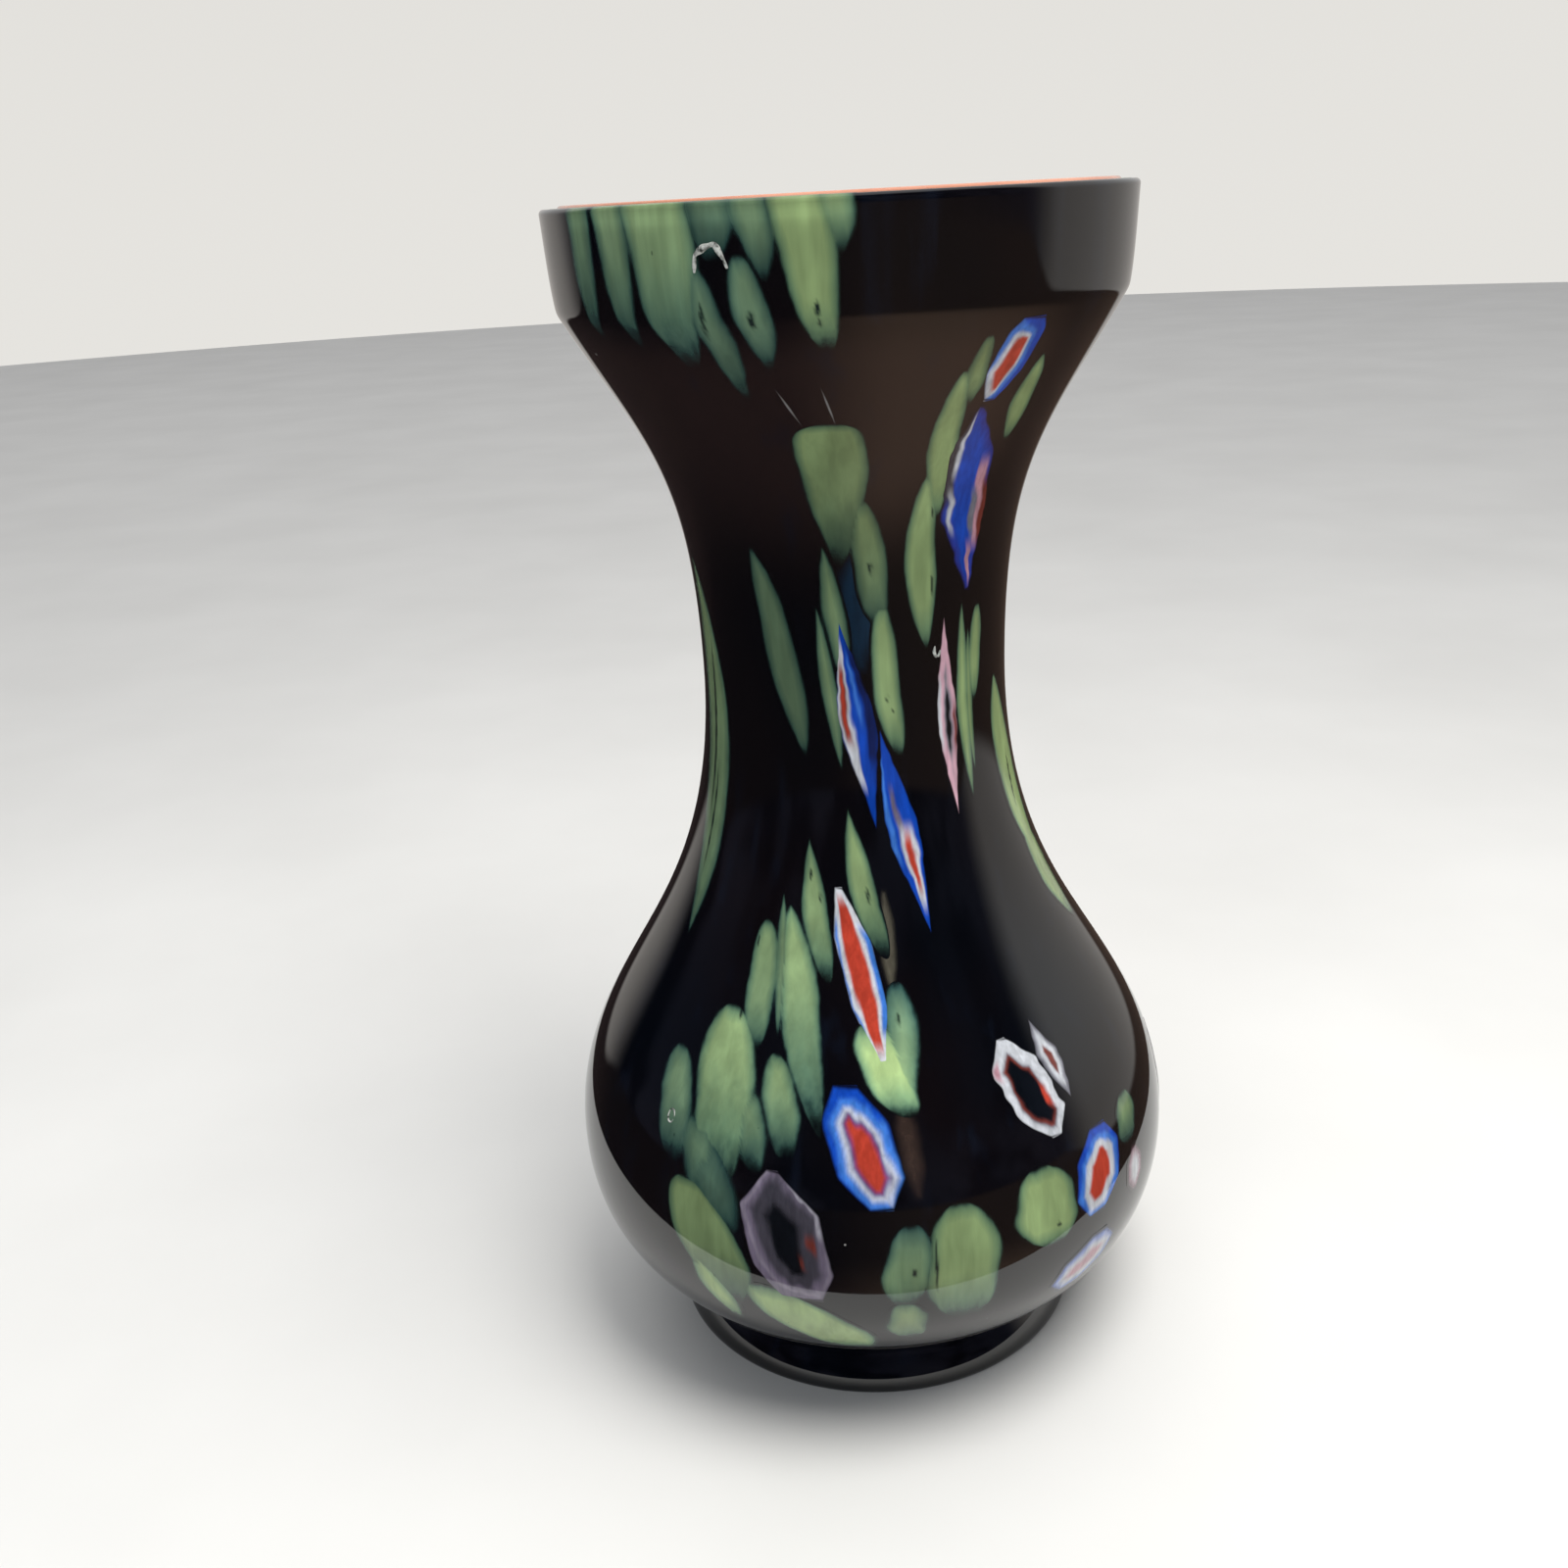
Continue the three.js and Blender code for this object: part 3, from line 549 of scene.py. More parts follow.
    Chip("chip_back_08", (235, 66.8), (240, 45), 8.8, (ROUND, ROUND), tone=(0.7, 0.3), lum=(1.1, 0.9), soft=1.4, node="chip_back_08"),
    Chip("chip_back_10", (104, 197), (106, 177), 5.2, (CUT, LEAF), tone=(0.9, 0.4), lum=(1.05, 0.8), soft=1.2, melt=(1, 6)),
    Chip("chip_back_11", (141, 197), (143.5, 174), 6.4, (CUT, LEAF), tone=(0.7, 0.5), lum=(1.05, 0.8), soft=1.2, melt=(1, 6)),
    Chip("chip_back_12", (149, 197), (150.5, 180), 4.6, (CUT, LEAF), tone=(1.0, 0.8), lum=(1.05, 0.8), soft=1.0, melt=(1, 6)),
    Chip("chip_back_13", (231, 197), (234, 175), 6.0, (CUT, LEAF), tone=(0.5, 0.2), lum=(1.05, 0.8), soft=1.2, melt=(1, 6)),
    Chip("chip_back_14", (240, 197), (242, 179), 5.0, (CUT, LEAF), tone=(0.9, 0.4), lum=(1.05, 0.8), soft=1.0, melt=(1, 6)),
    Chip("chip_back_15", (262, 197), (265, 176), 6.2, (CUT, LEAF), tone=(0.7, 0.5), lum=(1.05, 0.8), soft=1.2, melt=(1, 6)),
    Chip("chip_back_16", (98, 150), (104, 128), 4.6, (ROUND, LEAF), tone=(1.0, 0.8), lum=(1.1, 0.95), soft=1.0, melt=(1.4, 4)),
    Chip("chip_back_17", (146, 136), (153, 108), 4.4, (ROUND, LEAF), tone=(0.5, 0.2), lum=(0.95, 0.85), soft=1.0, melt=(1.4, 4)),
    Chip("chip_back_18", (159, 156), (163, 137), 5.0, (ROUND, LEAF), tone=(0.9, 0.4), lum=(1.1, 0.95), soft=1.0, melt=(1.4, 4)),
    Chip("chip_back_19", (212, 152), (218, 129), 5.4, (ROUND, LEAF), tone=(0.7, 0.5), lum=(0.95, 0.85), soft=1.2, melt=(1.4, 4)),
    Chip("chip_back_20", (221, 120), (228, 92), 4.2, (ROUND, LEAF), tone=(1.0, 0.8), lum=(1.1, 0.95), soft=1.0, melt=(1.4, 4)),
    Chip("chip_back_21", (262, 152), (268, 127), 5.0, (ROUND, LEAF), tone=(0.5, 0.2), lum=(0.95, 0.85), soft=1.0, melt=(1.4, 4)),
    Chip("chip_back_22", (128, 102), (135, 78), 4.8, (ROUND, LEAF), tone=(0.9, 0.4), lum=(1.1, 0.95), soft=1.0, melt=(1.4, 4)),
    Chip("chip_back_23", (168, 98), (175, 75), 4.6, (ROUND, LEAF), tone=(0.7, 0.5), lum=(0.95, 0.85), soft=1.0, melt=(1.4, 4)),
    Chip("chip_back_24", (203, 94), (210, 70), 5.4, (ROUND, LEAF), tone=(1.0, 0.8), lum=(1.1, 0.95), soft=1.2, melt=(1.4, 4)),
    Chip("chip_back_25", (123, 63), (128, 45), 7.4, (ROUND, ROUND), tone=(0.5, 0.2), lum=(0.95, 0.85), soft=1.2, melt=(1.6, 4)),
    Chip("chip_back_26", (158, 76), (163, 58), 6.2, (ROUND, ROUND), tone=(0.9, 0.4), lum=(1.1, 0.95), soft=1.2, melt=(1.6, 4)),
    Chip("chip_back_27", (199, 64), (204, 45), 7.8, (ROUND, ROUND), tone=(0.7, 0.5), lum=(0.95, 0.85), soft=1.2, melt=(1.6, 4)),
    Chip("chip_back_28", (214, 58), (219, 40), 6.8, (ROUND, ROUND), tone=(1.0, 0.8), lum=(1.1, 0.95), soft=1.2, melt=(1.6, 4)),
    Chip("chip_back_29", (258, 60), (263, 42), 7.6, (ROUND, ROUND), tone=(0.5, 0.2), lum=(0.95, 0.85), soft=1.2, melt=(1.6, 4)),
    Chip("chip_back_30", (152, 39), (154, 25), 8.4, (ROUND, ROUND), tone=(0.9, 0.4), lum=(1.1, 0.95), soft=1.2, melt=(1.6, 4)),
    Chip("chip_back_31", (194, 38), (196, 24), 7.2, (ROUND, ROUND), tone=(0.7, 0.5), lum=(0.95, 0.85), soft=1.2, melt=(1.6, 4)),
    Chip("chip_back_32", (119, 38), (121, 25), 7.8, (ROUND, ROUND), tone=(1.0, 0.8), lum=(1.1, 0.95), soft=1.2, melt=(1.6, 4)),
    Chip("chip_back_33", (231, 38), (233, 24), 8.2, (ROUND, ROUND), tone=(0.5, 0.2), lum=(0.95, 0.85), soft=1.2, melt=(1.6, 4)),
    Chip("chip_back_34", (272, 44), (275, 30), 6.6, (ROUND, ROUND), tone=(0.9, 0.4), lum=(1.1, 0.95), soft=1.2, melt=(1.6, 4)),
]


def chip_values(degrees, height):
    """How thick, green and bright the opal is, taking the thickest chip wherever chips meet."""
    part = np.full(degrees.shape, -3.0)
    tone, lum, dark = np.zeros(degrees.shape), np.ones(degrees.shape), np.zeros(degrees.shape)
    for chip in CHIPS:
        here, along = chip.part(degrees, height)
        win = here > part
        part = np.where(win, here, part)
        tone = np.where(win, chip.tone[1] + (chip.tone[0] - chip.tone[1]) * along, tone)
        lum = np.where(win, chip.lum[1] + (chip.lum[0] - chip.lum[1]) * along, lum)
        for at, up, wide, tall in chip.holes:
            x = np.radians(degrees - at) * radius_at(height) / wide
            y = (height - up) / tall
            dark = np.maximum(dark, 1 - smoothstep(np.hypot(x, y), 0.6, 1.2))
    # a painted highlight: a bright line under the rim, where the wall turns over towards the overhead light; and a
    # darker one right at the rim, where the chips run thin
    painted_rim_highlight_and_edge = np.exp(-((height - 187.6) / 0.8) ** 2) * 0.25 - smoothstep(height, TOP - 1.4, TOP - 0.4) * 0.35
    return {"part": np.clip(part, -1.0, 2.0), "tone": np.clip(tone, 0, 1), "lum": lum * (1 + painted_rim_highlight_and_edge), "dark": dark}


def closed_patch(name, degrees, height, material, values, proud, thick=0.5, paint=None):
    """A thin closed inlay over a grid of points on the wall."""
    rows, cols = degrees.shape
    outside, normal = on_wall(degrees, height, proud)
    inside, _ = on_wall(degrees, height, proud - thick)
    count = rows * cols
    index = np.arange(count).reshape(rows, cols)
    a, b = index[:-1, :-1].ravel(), index[:-1, 1:].ravel()
    c, d = index[1:, 1:].ravel(), index[1:, :-1].ravel()
    faces = np.c_[a, d, c, b].tolist() + (np.c_[a, b, c, d] + count).tolist()
    ring = np.r_[index[0, :], index[1:, -1], index[-1, -2::-1], index[-2:0:-1, 0]]
    after = np.roll(ring, -1)
    faces += np.c_[ring, after, after + count, ring + count].tolist()
    verts = np.vstack([outside.reshape(-1, 3), inside.reshape(-1, 3)])
    normals = np.vstack([normal.reshape(-1, 3), -normal.reshape(-1, 3)])
    doubled = {key: np.r_[value.ravel(), value.ravel()] for key, value in values.items()}
    obj = add_object(name, verts, faces, material, normals, doubled)
    if paint is not None:
        rgba = np.c_[paint.reshape(-1, 3), np.ones(count)]
        layer = obj.data.attributes.new("paint", "FLOAT_COLOR", "POINT")
        layer.data.foreach_set("color", np.vstack([rgba, rgba]).astype(np.float32).ravel())
    return obj


def spread(count, ease=0.8):
    """Steps from 1 down to -1, closer together towards both ends."""
    even = np.linspace(1, -1, count)
    eased = np.sin(even * math.pi / 2)
    return even * (1 - ease) + eased * ease


def place_chip(chip, order):
    s = spread(max(28, int(chip.length / 0.42)))
    s = s[chip.height(s) <= TOP - 0.01]
    if chip.height(1.0) > TOP:
        rest = s[chip.height(s) < 187.8]
        lip_heights = np.linspace(TOP - 0.005, 188.0, 10)
        s = np.r_[(lip_heights - chip.bottom[1]) / chip.length * 2 - 1, rest]
    t = np.linspace(-1, 1, max(15, int(chip.width / 0.3)))
    s_grid, t_grid = np.meshgrid(s, t, indexing="ij")
    half = np.where(t_grid > 0, chip.half(s_grid, 1.0), chip.half(s_grid, -1.0)) + 0.15
    height = chip.height(s_grid)
    degrees = chip.degrees(s_grid) + np.degrees(t_grid * half / radius_at(height))
    proud = (0.035 + 0.008 * (order % 4)) * (0.3 + 0.7 * smoothstep((1 - np.abs(t_grid)) * half, 0, 0.5))
    obj = closed_patch(chip.name, degrees, height, GREEN, chip_values(degrees, height), proud)
    if chip.node:
        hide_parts(chip.node)
    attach(obj, "root")


for order, chip in enumerate(CHIPS):
    place_chip(chip, order)

# ------------------------------------------------------------------------------------------------
# Cane slices
# ------------------------------------------------------------------------------------------------

BLUE, SKY, NAVY = (0.006, 0.055, 0.40), (0.045, 0.170, 0.56), (0.004, 0.012, 0.075)
WHITE, PINK, LILAC = (0.52, 0.54, 0.58), (0.46, 0.24, 0.29), (0.130, 0.108, 0.155)
RED, BRICK, DARK = (0.42, 0.045, 0.024), (0.150, 0.030, 0.022), (0.003, 0.004, 0.006)
GREY, SMOKE, VIOLET = (0.16, 0.16, 0.19), (0.045, 0.042, 0.055), (0.060, 0.045, 0.200)


def wander(x, y, size, seed):
    """Smooth noise between -1 and 1."""
    grid = np.random.default_rng(seed).uniform(-1, 1, (40, 40))
    gx, gy = x / size + 20, y / size + 20
    ix, iy = np.floor(gx).astype(int), np.floor(gy).astype(int)
    fx, fy = gx - ix, gy - iy
    fx, fy = fx * fx * (3 - 2 * fx), fy * fy * (3 - 2 * fy)
    ix, iy = np.clip(ix, 0, 38), np.clip(iy, 0, 38)
    low = grid[ix, iy] * (1 - fx) + grid[ix + 1, iy] * fx
    high = grid[ix, iy + 1] * (1 - fx) + grid[ix + 1, iy + 1] * fx
    return low * (1 - fy) + high * fy


def line_distance(x, y, points, closed=False):
    """Distance to a line through points, and how far along it the nearest place is (0 to 1)."""
    points = np.array(points, dtype=float)
    if len(points) == 1:
        return np.hypot(x - points[0, 0], y - points[0, 1]), np.zeros(x.shape)
    ends = np.roll(points, -1, axis=0) if closed else points[1:]
    best, where = np.full(x.shape, 1e9), np.zeros(x.shape)
    for k, (p, q) in enumerate(zip(points, ends)):
        d = q - p
        t = np.clip(((x - p[0]) * d[0] + (y - p[1]) * d[1]) / max(d @ d, 1e-9), 0, 1)
        far = np.hypot(x - p[0] - t * d[0], y - p[1] - t * d[1])
        where = np.where(far < best, (k + t) / (len(points) - 1 + closed), where)
        best = np.minimum(far, best)
    return best, where


def place_cane(name, slot, centre, height, width, base, layers, lean=0.0, tips=(0.0, 0.0), full=(0.5, 0.5), threads=(),
               shift=(0.0, 0.0), node=None, ragged=0.12, soft=0.35, seed=1, proud=0.09):
    """A slice of cane, millimetres tall and wide, that leans sideways by lean for each one up.

    Its sides run straight from a tip, a share of the width, to the full width at a share of the way to
    the middle: a needle has small tips and a far full width, a six-sided slice wide tips. Top comes
    first. A layer is (colour, start, softness): it fills what lies further in than start, 0 at the
    border and 1 at the core, and shift moves the core sideways and up. A thread is (colour, across,
    width, top, bottom), a streak at a share of the half width between two shares of the height.
    """
    s = np.linspace(0.999, -0.999, max(30, int(height / 0.22)))
    tip = np.where(s > 0, tips[0], tips[1])
    reach = np.where(s > 0, full[0], full[1])
    half = width / 2 * np.clip(tip + (1 - tip) * (1 - np.abs(s)) / np.maximum(reach, 1e-6), 0.02, 1)
    for _ in range(2):
        half[1:-1] = (half[:-2] + 2 * half[1:-1] + half[2:]) / 4
    y = s * height / 2
    room = np.clip(half, 0, 1)
    left = lean * y - half + ragged * room * wander(y * 0, y, 1.3, seed)
    right = lean * y + half + ragged * room * wander(y * 0 + 9, y, 1.3, seed)
    right = np.maximum(right, left + 0.06)
    t = np.linspace(-1, 1, max(15, int(width / 0.2)))
    x_grid = ((left + right) / 2)[:, None] + ((right - left) / 2)[:, None] * t[None, :]
    y_grid = np.repeat(y[:, None], len(t), axis=1)
    s_grid, t_grid = np.meshgrid(s, t, indexing="ij")
    border = np.vstack([np.c_[left, y], np.c_[right, y][::-1]])
    edge, _ = line_distance(x_grid, y_grid, border[::2], closed=True)
    noise = wander(x_grid, y_grid * 0.3, 1.1, seed + 1)
    depth = edge / edge.max() + shift[0] * t_grid + shift[1] * s_grid + 0.07 * noise
    paint = np.empty(x_grid.shape + (3,))
    paint[:] = base
    for color, start, blur in layers:
        cover = smoothstep(depth, start - blur, start + blur)
        paint = paint * (1 - cover[..., None]) + np.array(color) * cover[..., None]
    for color, across, wide, top, bottom in threads:
        far = np.abs(t_grid - across - 0.10 * noise) * width / 2
        cover = 1 - smoothstep(far, wide / 2 - 0.3, wide / 2 + 0.3)
        cover = cover * smoothstep(s_grid, bottom - 0.12, bottom + 0.12) * (1 - smoothstep(s_grid, top - 0.12, top + 0.12))
        paint = paint * (1 - cover[..., None]) + np.array(color) * cover[..., None]
    up = centre[1] + y_grid
    degrees = centre[0] + np.degrees(x_grid / radius_at(up))
    values = {"cover": smoothstep(edge, 0.0, soft)}
    proud = proud * (0.2 + 0.8 * smoothstep(edge, 0, 0.5))
    obj = closed_patch(name, degrees, up, CANES[slot], values, proud, paint=paint)
    if node:
        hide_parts(node)
    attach(obj, "root")


CANES = {name: cane_glass(name) for name in ("blue_cane", "red_cane", "white_cane", "lilac_cane")}

NEEDLE = {"tips": (0.04, 0.04), "full": (0.85, 0.85)}
HEXAGON = {"tips": (0.35, 0.35), "full": (0.55, 0.55)}
SOFT = {"tips": (0.3, 0.3), "full": (0.6, 0.6), "ragged": 0.06}

# collar and funnel
place_cane("cane_collar_blue", "blue_cane", (36, 168), 11, 6.5, BLUE,
           [(SKY, 0.2, 0.15), (WHITE, 0.5, 0.1), (RED, 0.68, 0.08)], lean=0.2, tips=(0.6, 0.3), full=(0.3, 0.7), seed=11,
           shift=(-0.35, -0.2), node="cane_collar_blue")
place_cane("cane_neck_blue", "blue_cane", (37, 148), 28, 8.5, (0.020, 0.030, 0.230),
           [(BLUE, 0.3, 0.3)], lean=-0.18, tips=(0.1, 0.1), full=(0.5, 0.8), seed=12, ragged=0.3, soft=0.6, node="cane_neck_blue",
           threads=[(SMOKE, -0.8, 2.0, 0.9, 0.0), (WHITE, -0.6, 0.8, 0.9, 0.3), (WHITE, -0.7, 0.9, 0.1, -0.3), (BLUE, -0.1, 2.6, 0.8, -0.8),
                    (PINK, 0.6, 1.6, 0.4, -0.5), (BRICK, 0.85, 1.4, 0.2, -0.5), (GREY, 0.35, 1.0, 0.1, -0.4), (PINK, 0.2, 1.6, -0.5, -0.9)])

# neck
place_cane("cane_neck_pink", "white_cane", (34.5, 115), 31, 3.6, (0.56, 0.34, 0.41),
           [(GREY, 0.6, 0.2), (DARK, 0.78, 0.1)], lean=-0.04, seed=13, soft=0.25, node="cane_neck_pink", shift=(0.1, 0.0),
           threads=[(WHITE, -0.8, 0.7, 0.4, -0.3), (BRICK, 0.75, 0.7, 0.1, -0.35)], **NEEDLE)
place_cane("cane_neck_long", "blue_cane", (0.5, 116), 33, 5.4, (0.004, 0.040, 0.300),
           [(BLUE, 0.5, 0.3)], lean=-0.14, seed=14, soft=0.4, node="cane_neck_long",
           threads=[(WHITE, -0.6, 1.9, 0.75, -0.6), (BRICK, -0.6, 1.1, 0.55, -0.2), (RED, -0.6, 0.5, 0.45, -0.1),
                    (SKY, 0.2, 0.5, 0.6, 0.0), (NAVY, 0.7, 1.4, 0.7, -0.4)], **NEEDLE)
place_cane("cane_neck_slim", "blue_cane", (14.5, 99), 31, 5.0, BLUE,
           [(BLUE, 0.4, 0.2)], lean=-0.17, seed=15, soft=0.3, node="cane_neck_slim",
           threads=[(SKY, -0.8, 0.8, 0.7, -0.3), (LILAC, -0.2, 0.8, 0.4, -0.1), (WHITE, 0.15, 2.4, 0.0, -0.75), (RED, 0.15, 1.2, -0.05, -0.6)],
           **NEEDLE)

# bulb
place_cane("cane_bulb_red", "red_cane", (-1.0, 79), 24, 5.6, WHITE,
           [], lean=-0.26, tips=(0.2, 0.2), full=(0.6, 0.6), seed=16, soft=0.3, ragged=0.06, node="cane_bulb_red",
           threads=[(SKY, -0.92, 0.5, 0.6, -0.7), (SKY, 0.85, 1.3, 0.5, -0.7), (RED, -0.08, 2.7, 0.85, -0.85)])
place_cane("cane_bulb_hexagon", "red_cane", (-1.5, 56), 17, 10.5, BLUE,
           [(SKY, 0.16, 0.12), (WHITE, 0.40, 0.14), (VIOLET, 0.54, 0.12), (RED, 0.66, 0.12)], lean=-0.3, seed=17, soft=0.7, ragged=0.08,
           shift=(0.08, -0.2), node="cane_bulb_hexagon", **HEXAGON)
place_cane("cane_bulb_lilac", "lilac_cane", (-15.5, 42), 21, 13.0, LILAC,
           [((0.19, 0.165, 0.215), 0.05, 0.05), (LILAC, 0.16, 0.06), (SMOKE, 0.3, 0.12), (DARK, 0.66, 0.12)], lean=-0.22, seed=18, soft=0.4,
           ragged=0.08, shift=(0.12, 0.16), node="cane_bulb_lilac", tips=(0.15, 0.5), full=(0.55, 0.5),
           threads=[((0.26, 0.25, 0.29), 0.92, 1.1, 0.8, 0.1), (BRICK, 0.65, 1.0, 0.1, -0.15), (BRICK, 0.3, 1.0, -0.25, -0.4)])
place_cane("cane_bulb_white", "white_cane", (33.5, 60), 15, 8.6, WHITE,
           [(GREY, 0.38, 0.1), (BRICK, 0.44, 0.06), (DARK, 0.54, 0.08)], lean=-0.32, seed=19, soft=0.25, ragged=0.35, shift=(-0.1, -0.1),
           node="cane_bulb_white", tips=(0.15, 0.2), full=(0.5, 0.5), threads=[(PINK, -0.8, 0.8, 0.6, 0.3), (RED, 0.5, 0.7, 0.0, -0.4)])
place_cane("cane_bulb_edge", "white_cane", (41, 62.5), 12, 4.4, GREY,
           [(WHITE, 0.35, 0.2), (BRICK, 0.75, 0.12)], lean=-0.2, seed=20, soft=0.4, ragged=0.2, **NEEDLE)
place_cane("cane_bulb_small", "red_cane", (45, 44), 14, 11.0, BLUE,
           [(SKY, 0.15, 0.1), (WHITE, 0.34, 0.1), (RED, 0.6, 0.08)], lean=0.18, seed=21, soft=0.5, ragged=0.06, shift=(0.0, -0.16),
           node="cane_bulb_small", **HEXAGON)
place_cane("cane_bulb_low", "blue_cane", (42, 28), 10, 13, (0.14, 0.21, 0.52),
           [(WHITE, 0.4, 0.25), (PINK, 0.7, 0.2)], lean=0.5, seed=22, soft=1.3, **SOFT)
place_cane("cane_bulb_pink", "white_cane", (56.5, 39), 9, 6, (0.27, 0.16, 0.20), [(WHITE, 0.6, 0.3)], seed=23, soft=1.5, **SOFT)

# faint smears of thinned-out glass, and two fine threads on the funnel
place_cane("cane_neck_veil", "blue_cane", (2.4, 134), 22, 7.6, (0.004, 0.018, 0.038), [], seed=24, soft=3.0, proud=0.02, **SOFT)
place_cane("cane_bulb_smoke", "red_cane", (7.2, 56), 15, 4.6, (0.034, 0.021, 0.016), [], lean=-0.1, seed=29, soft=2.0, proud=0.02, **SOFT)
place_cane("cane_bulb_tail", "white_cane", (6.6, 83), 15, 3.0, (0.075, 0.068, 0.050), [], seed=30, soft=1.1, proud=0.025, **SOFT)
for name, degrees, lean, seed in (("left", -12, -0.5, 31), ("right", -3.4, -0.3, 32)):
    place_cane("cane_funnel_thread_" + name, "white_cane", (degrees, 163.5), 6.5, 0.5, (0.21, 0.21, 0.21), [], lean=lean, seed=seed,
               soft=0.25, proud=0.03, **NEEDLE)

# far side
place_cane("cane_back_funnel", "blue_cane", (171, 149.5), 22, 6.4, BLUE,
           [(SKY, 0.3, 0.15), (WHITE, 0.5, 0.1), (RED, 0.7, 0.1)], lean=-0.12, seed=25, ragged=0.3, node="cane_back_funnel", **NEEDLE)
place_cane("cane_back_neck", "red_cane", (239, 109), 27, 4.4, WHITE,
           [(SKY, 0.2, 0.1), (WHITE, 0.4, 0.1), (RED, 0.6, 0.1)], seed=26, node="cane_back_neck", **NEEDLE)
place_cane("cane_back_hexagon", "blue_cane", (182, 54), 16.5, 12.5, BLUE,
           [(WHITE, 0.4, 0.1), (RED, 0.62, 0.08)], seed=27, node="cane_back_hexagon", **HEXAGON)
place_cane("cane_back_lilac", "lilac_cane", (88, 42), 17, 11.5, LILAC,
           [(SMOKE, 0.3, 0.12), (DARK, 0.66, 0.1)], seed=28, node="cane_back_lilac", **HEXAGON)

# ------------------------------------------------------------------------------------------------
# Burst blisters, left as small raised squiggles on the collar and neck and a ring on the bulb; their pale colour is a
# painted glint
# ------------------------------------------------------------------------------------------------

def blister_painted_glint():
    n = Nodes("blister_painted_glint")
    point = n.point()
    clouds = n.noise(point, 1.4, detail=3.0)
    # the pale end of this ramp is a painted glint on the raised glass; the dark end is the glass itself
    color = n.ramp(clouds, [(0.35, (0.03, 0.035, 0.03)), (0.6, (0.50, 0.51, 0.48))])
    return n.glass(color, gloss(n, point), surface_waves(n, point))


def bead(name, route, thick, material):
    """A raised thread of glass lying along a route of [degrees, height] on the wall."""
    route = np.array(route, dtype=float)
    chord = np.r_[0, np.cumsum(np.hypot((np.diff(route[:, 0]) * 0.75), np.diff(route[:, 1])))]
    at = np.linspace(0, chord[-1], 40)
    degrees, up = np.interp(at, chord, route[:, 0]), np.interp(at, chord, route[:, 1])
    for _ in range(3):
        degrees[1:-1] = (degrees[:-2] + 2 * degrees[1:-1] + degrees[2:]) / 4
        up[1:-1] = (up[:-2] + 2 * up[1:-1] + up[2:]) / 4
    place, normal = on_wall(degrees, up)
    along = np.gradient(place, axis=0)
    along /= np.linalg.norm(along, axis=1)[:, None]
    across = np.cross(along, normal)
    angle = np.arange(12) * 2 * math.pi / 12
    swell = thick * (np.sin(np.linspace(0.12, math.pi - 0.12, 40)) ** 0.5) * (1 + 0.25 * np.sin(at * 2.3)) * MM
    ring = np.cos(angle)[None, :, None] * across[:, None, :] + 0.8 * np.sin(angle)[None, :, None] * normal[:, None, :]
    verts = (place[:, None, :] + ring * swell[:, None, None]).reshape(-1, 3)
    index = np.arange(40 * 12).reshape(40, 12)
    after = np.roll(index, -1, axis=1)
    faces = np.c_[index[:-1].ravel(), after[:-1].ravel(), after[1:].ravel(), index[1:].ravel()].tolist()
    faces += [index[0][::-1].tolist(), index[-1].tolist()]
    obj = add_object(name, verts, faces, material)
    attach(obj, "root")


BLISTER = blister_painted_glint()
bead("collar_blister", [(-25.0, 181.2), (-24.6, 183.4), (-22.8, 184.2), (-20.8, 184.6), (-19.6, 183.0), (-18.8, 181.6)], 0.42, BLISTER)
bead("neck_blister", [(29.6, 126.4), (29.2, 125.6), (29.8, 124.8), (31.0, 124.8), (31.8, 125.6)], 0.26, BLISTER)
angle = np.linspace(0, 2 * math.pi * 0.94, 14)
bead("bulb_blister", np.c_[-41.6 + 0.8 * np.cos(angle), 55.6 + 1.0 * np.sin(angle)], 0.16, BLISTER)

# ------------------------------------------------------------------------------------------------
# Floor, light, camera
# ------------------------------------------------------------------------------------------------

def floor_material():
    n = Nodes("pale_floor")
    point = n.point()
    mottle = n.noise(point, 0.01, detail=4.0)
    color = n.ramp(mottle, [(0.3, (0.66, 0.655, 0.64)), (0.7, (0.71, 0.705, 0.69))])
    shader = n.add("ShaderNodeBsdfPrincipled", {"Base Color": color, "Roughness": 0.6})
    n.tree.links.new(shader.outputs[0], n.output.inputs["Surface"])
    return n.material


def build_floor():
    """A pale table top: a round middle part under the vase, and the rest of the floor around it."""
    centre, reach, far, sides = np.array([-1.5, 46.0]), 125.8, 2600.0, 128
    angle = np.arange(sides) * 2 * math.pi / sides
    ring = np.c_[np.cos(angle), np.sin(angle)]
    material = floor_material()
    inner = np.c_[centre + ring * reach, np.full(sides, -0.02)]
    under = inner - [0, 0, 12]
    index = np.arange(sides)
    after = np.roll(index, -1)
    faces = [index.tolist(), (index[::-1] + sides).tolist()]
    faces += np.c_[index + sides, after + sides, after, index].tolist()
    disc = add_object("floor_middle", np.vstack([inner, under]) * MM + AXIS, faces, material)
    outer_ring = np.c_[centre + ring * far, np.full(sides, -0.02)]
    faces = np.c_[index, index + sides, after + sides, after].tolist()
    around = add_object("floor_around", np.vstack([inner, outer_ring]) * MM + AXIS, faces, material)
    around.visible_glossy = False
    for obj in (disc, around):
        obj.data.polygons.foreach_set("use_smooth", [False] * len(obj.data.polygons))


build_floor()

world = bpy.data.worlds.new("studio")
bpy.context.scene.world = world
world.use_nodes = True
wt = world.node_tree
wt.nodes.clear()


def wnode(kind, inputs=None, **settings):
    node = wt.nodes.new(kind)
    for key, value in settings.items():
        setattr(node, key, value)
    for key, value in (inputs or {}).items():
        if isinstance(value, bpy.types.NodeSocket):
            wt.links.new(value, node.inputs[key])
        else:
            node.inputs[key].default_value = value
    return node


def wmath(operation, a, b=0.0, c=0.0):
    return wnode("ShaderNodeMath", {0: a, 1: b, 2: c}, operation=operation).outputs[0]


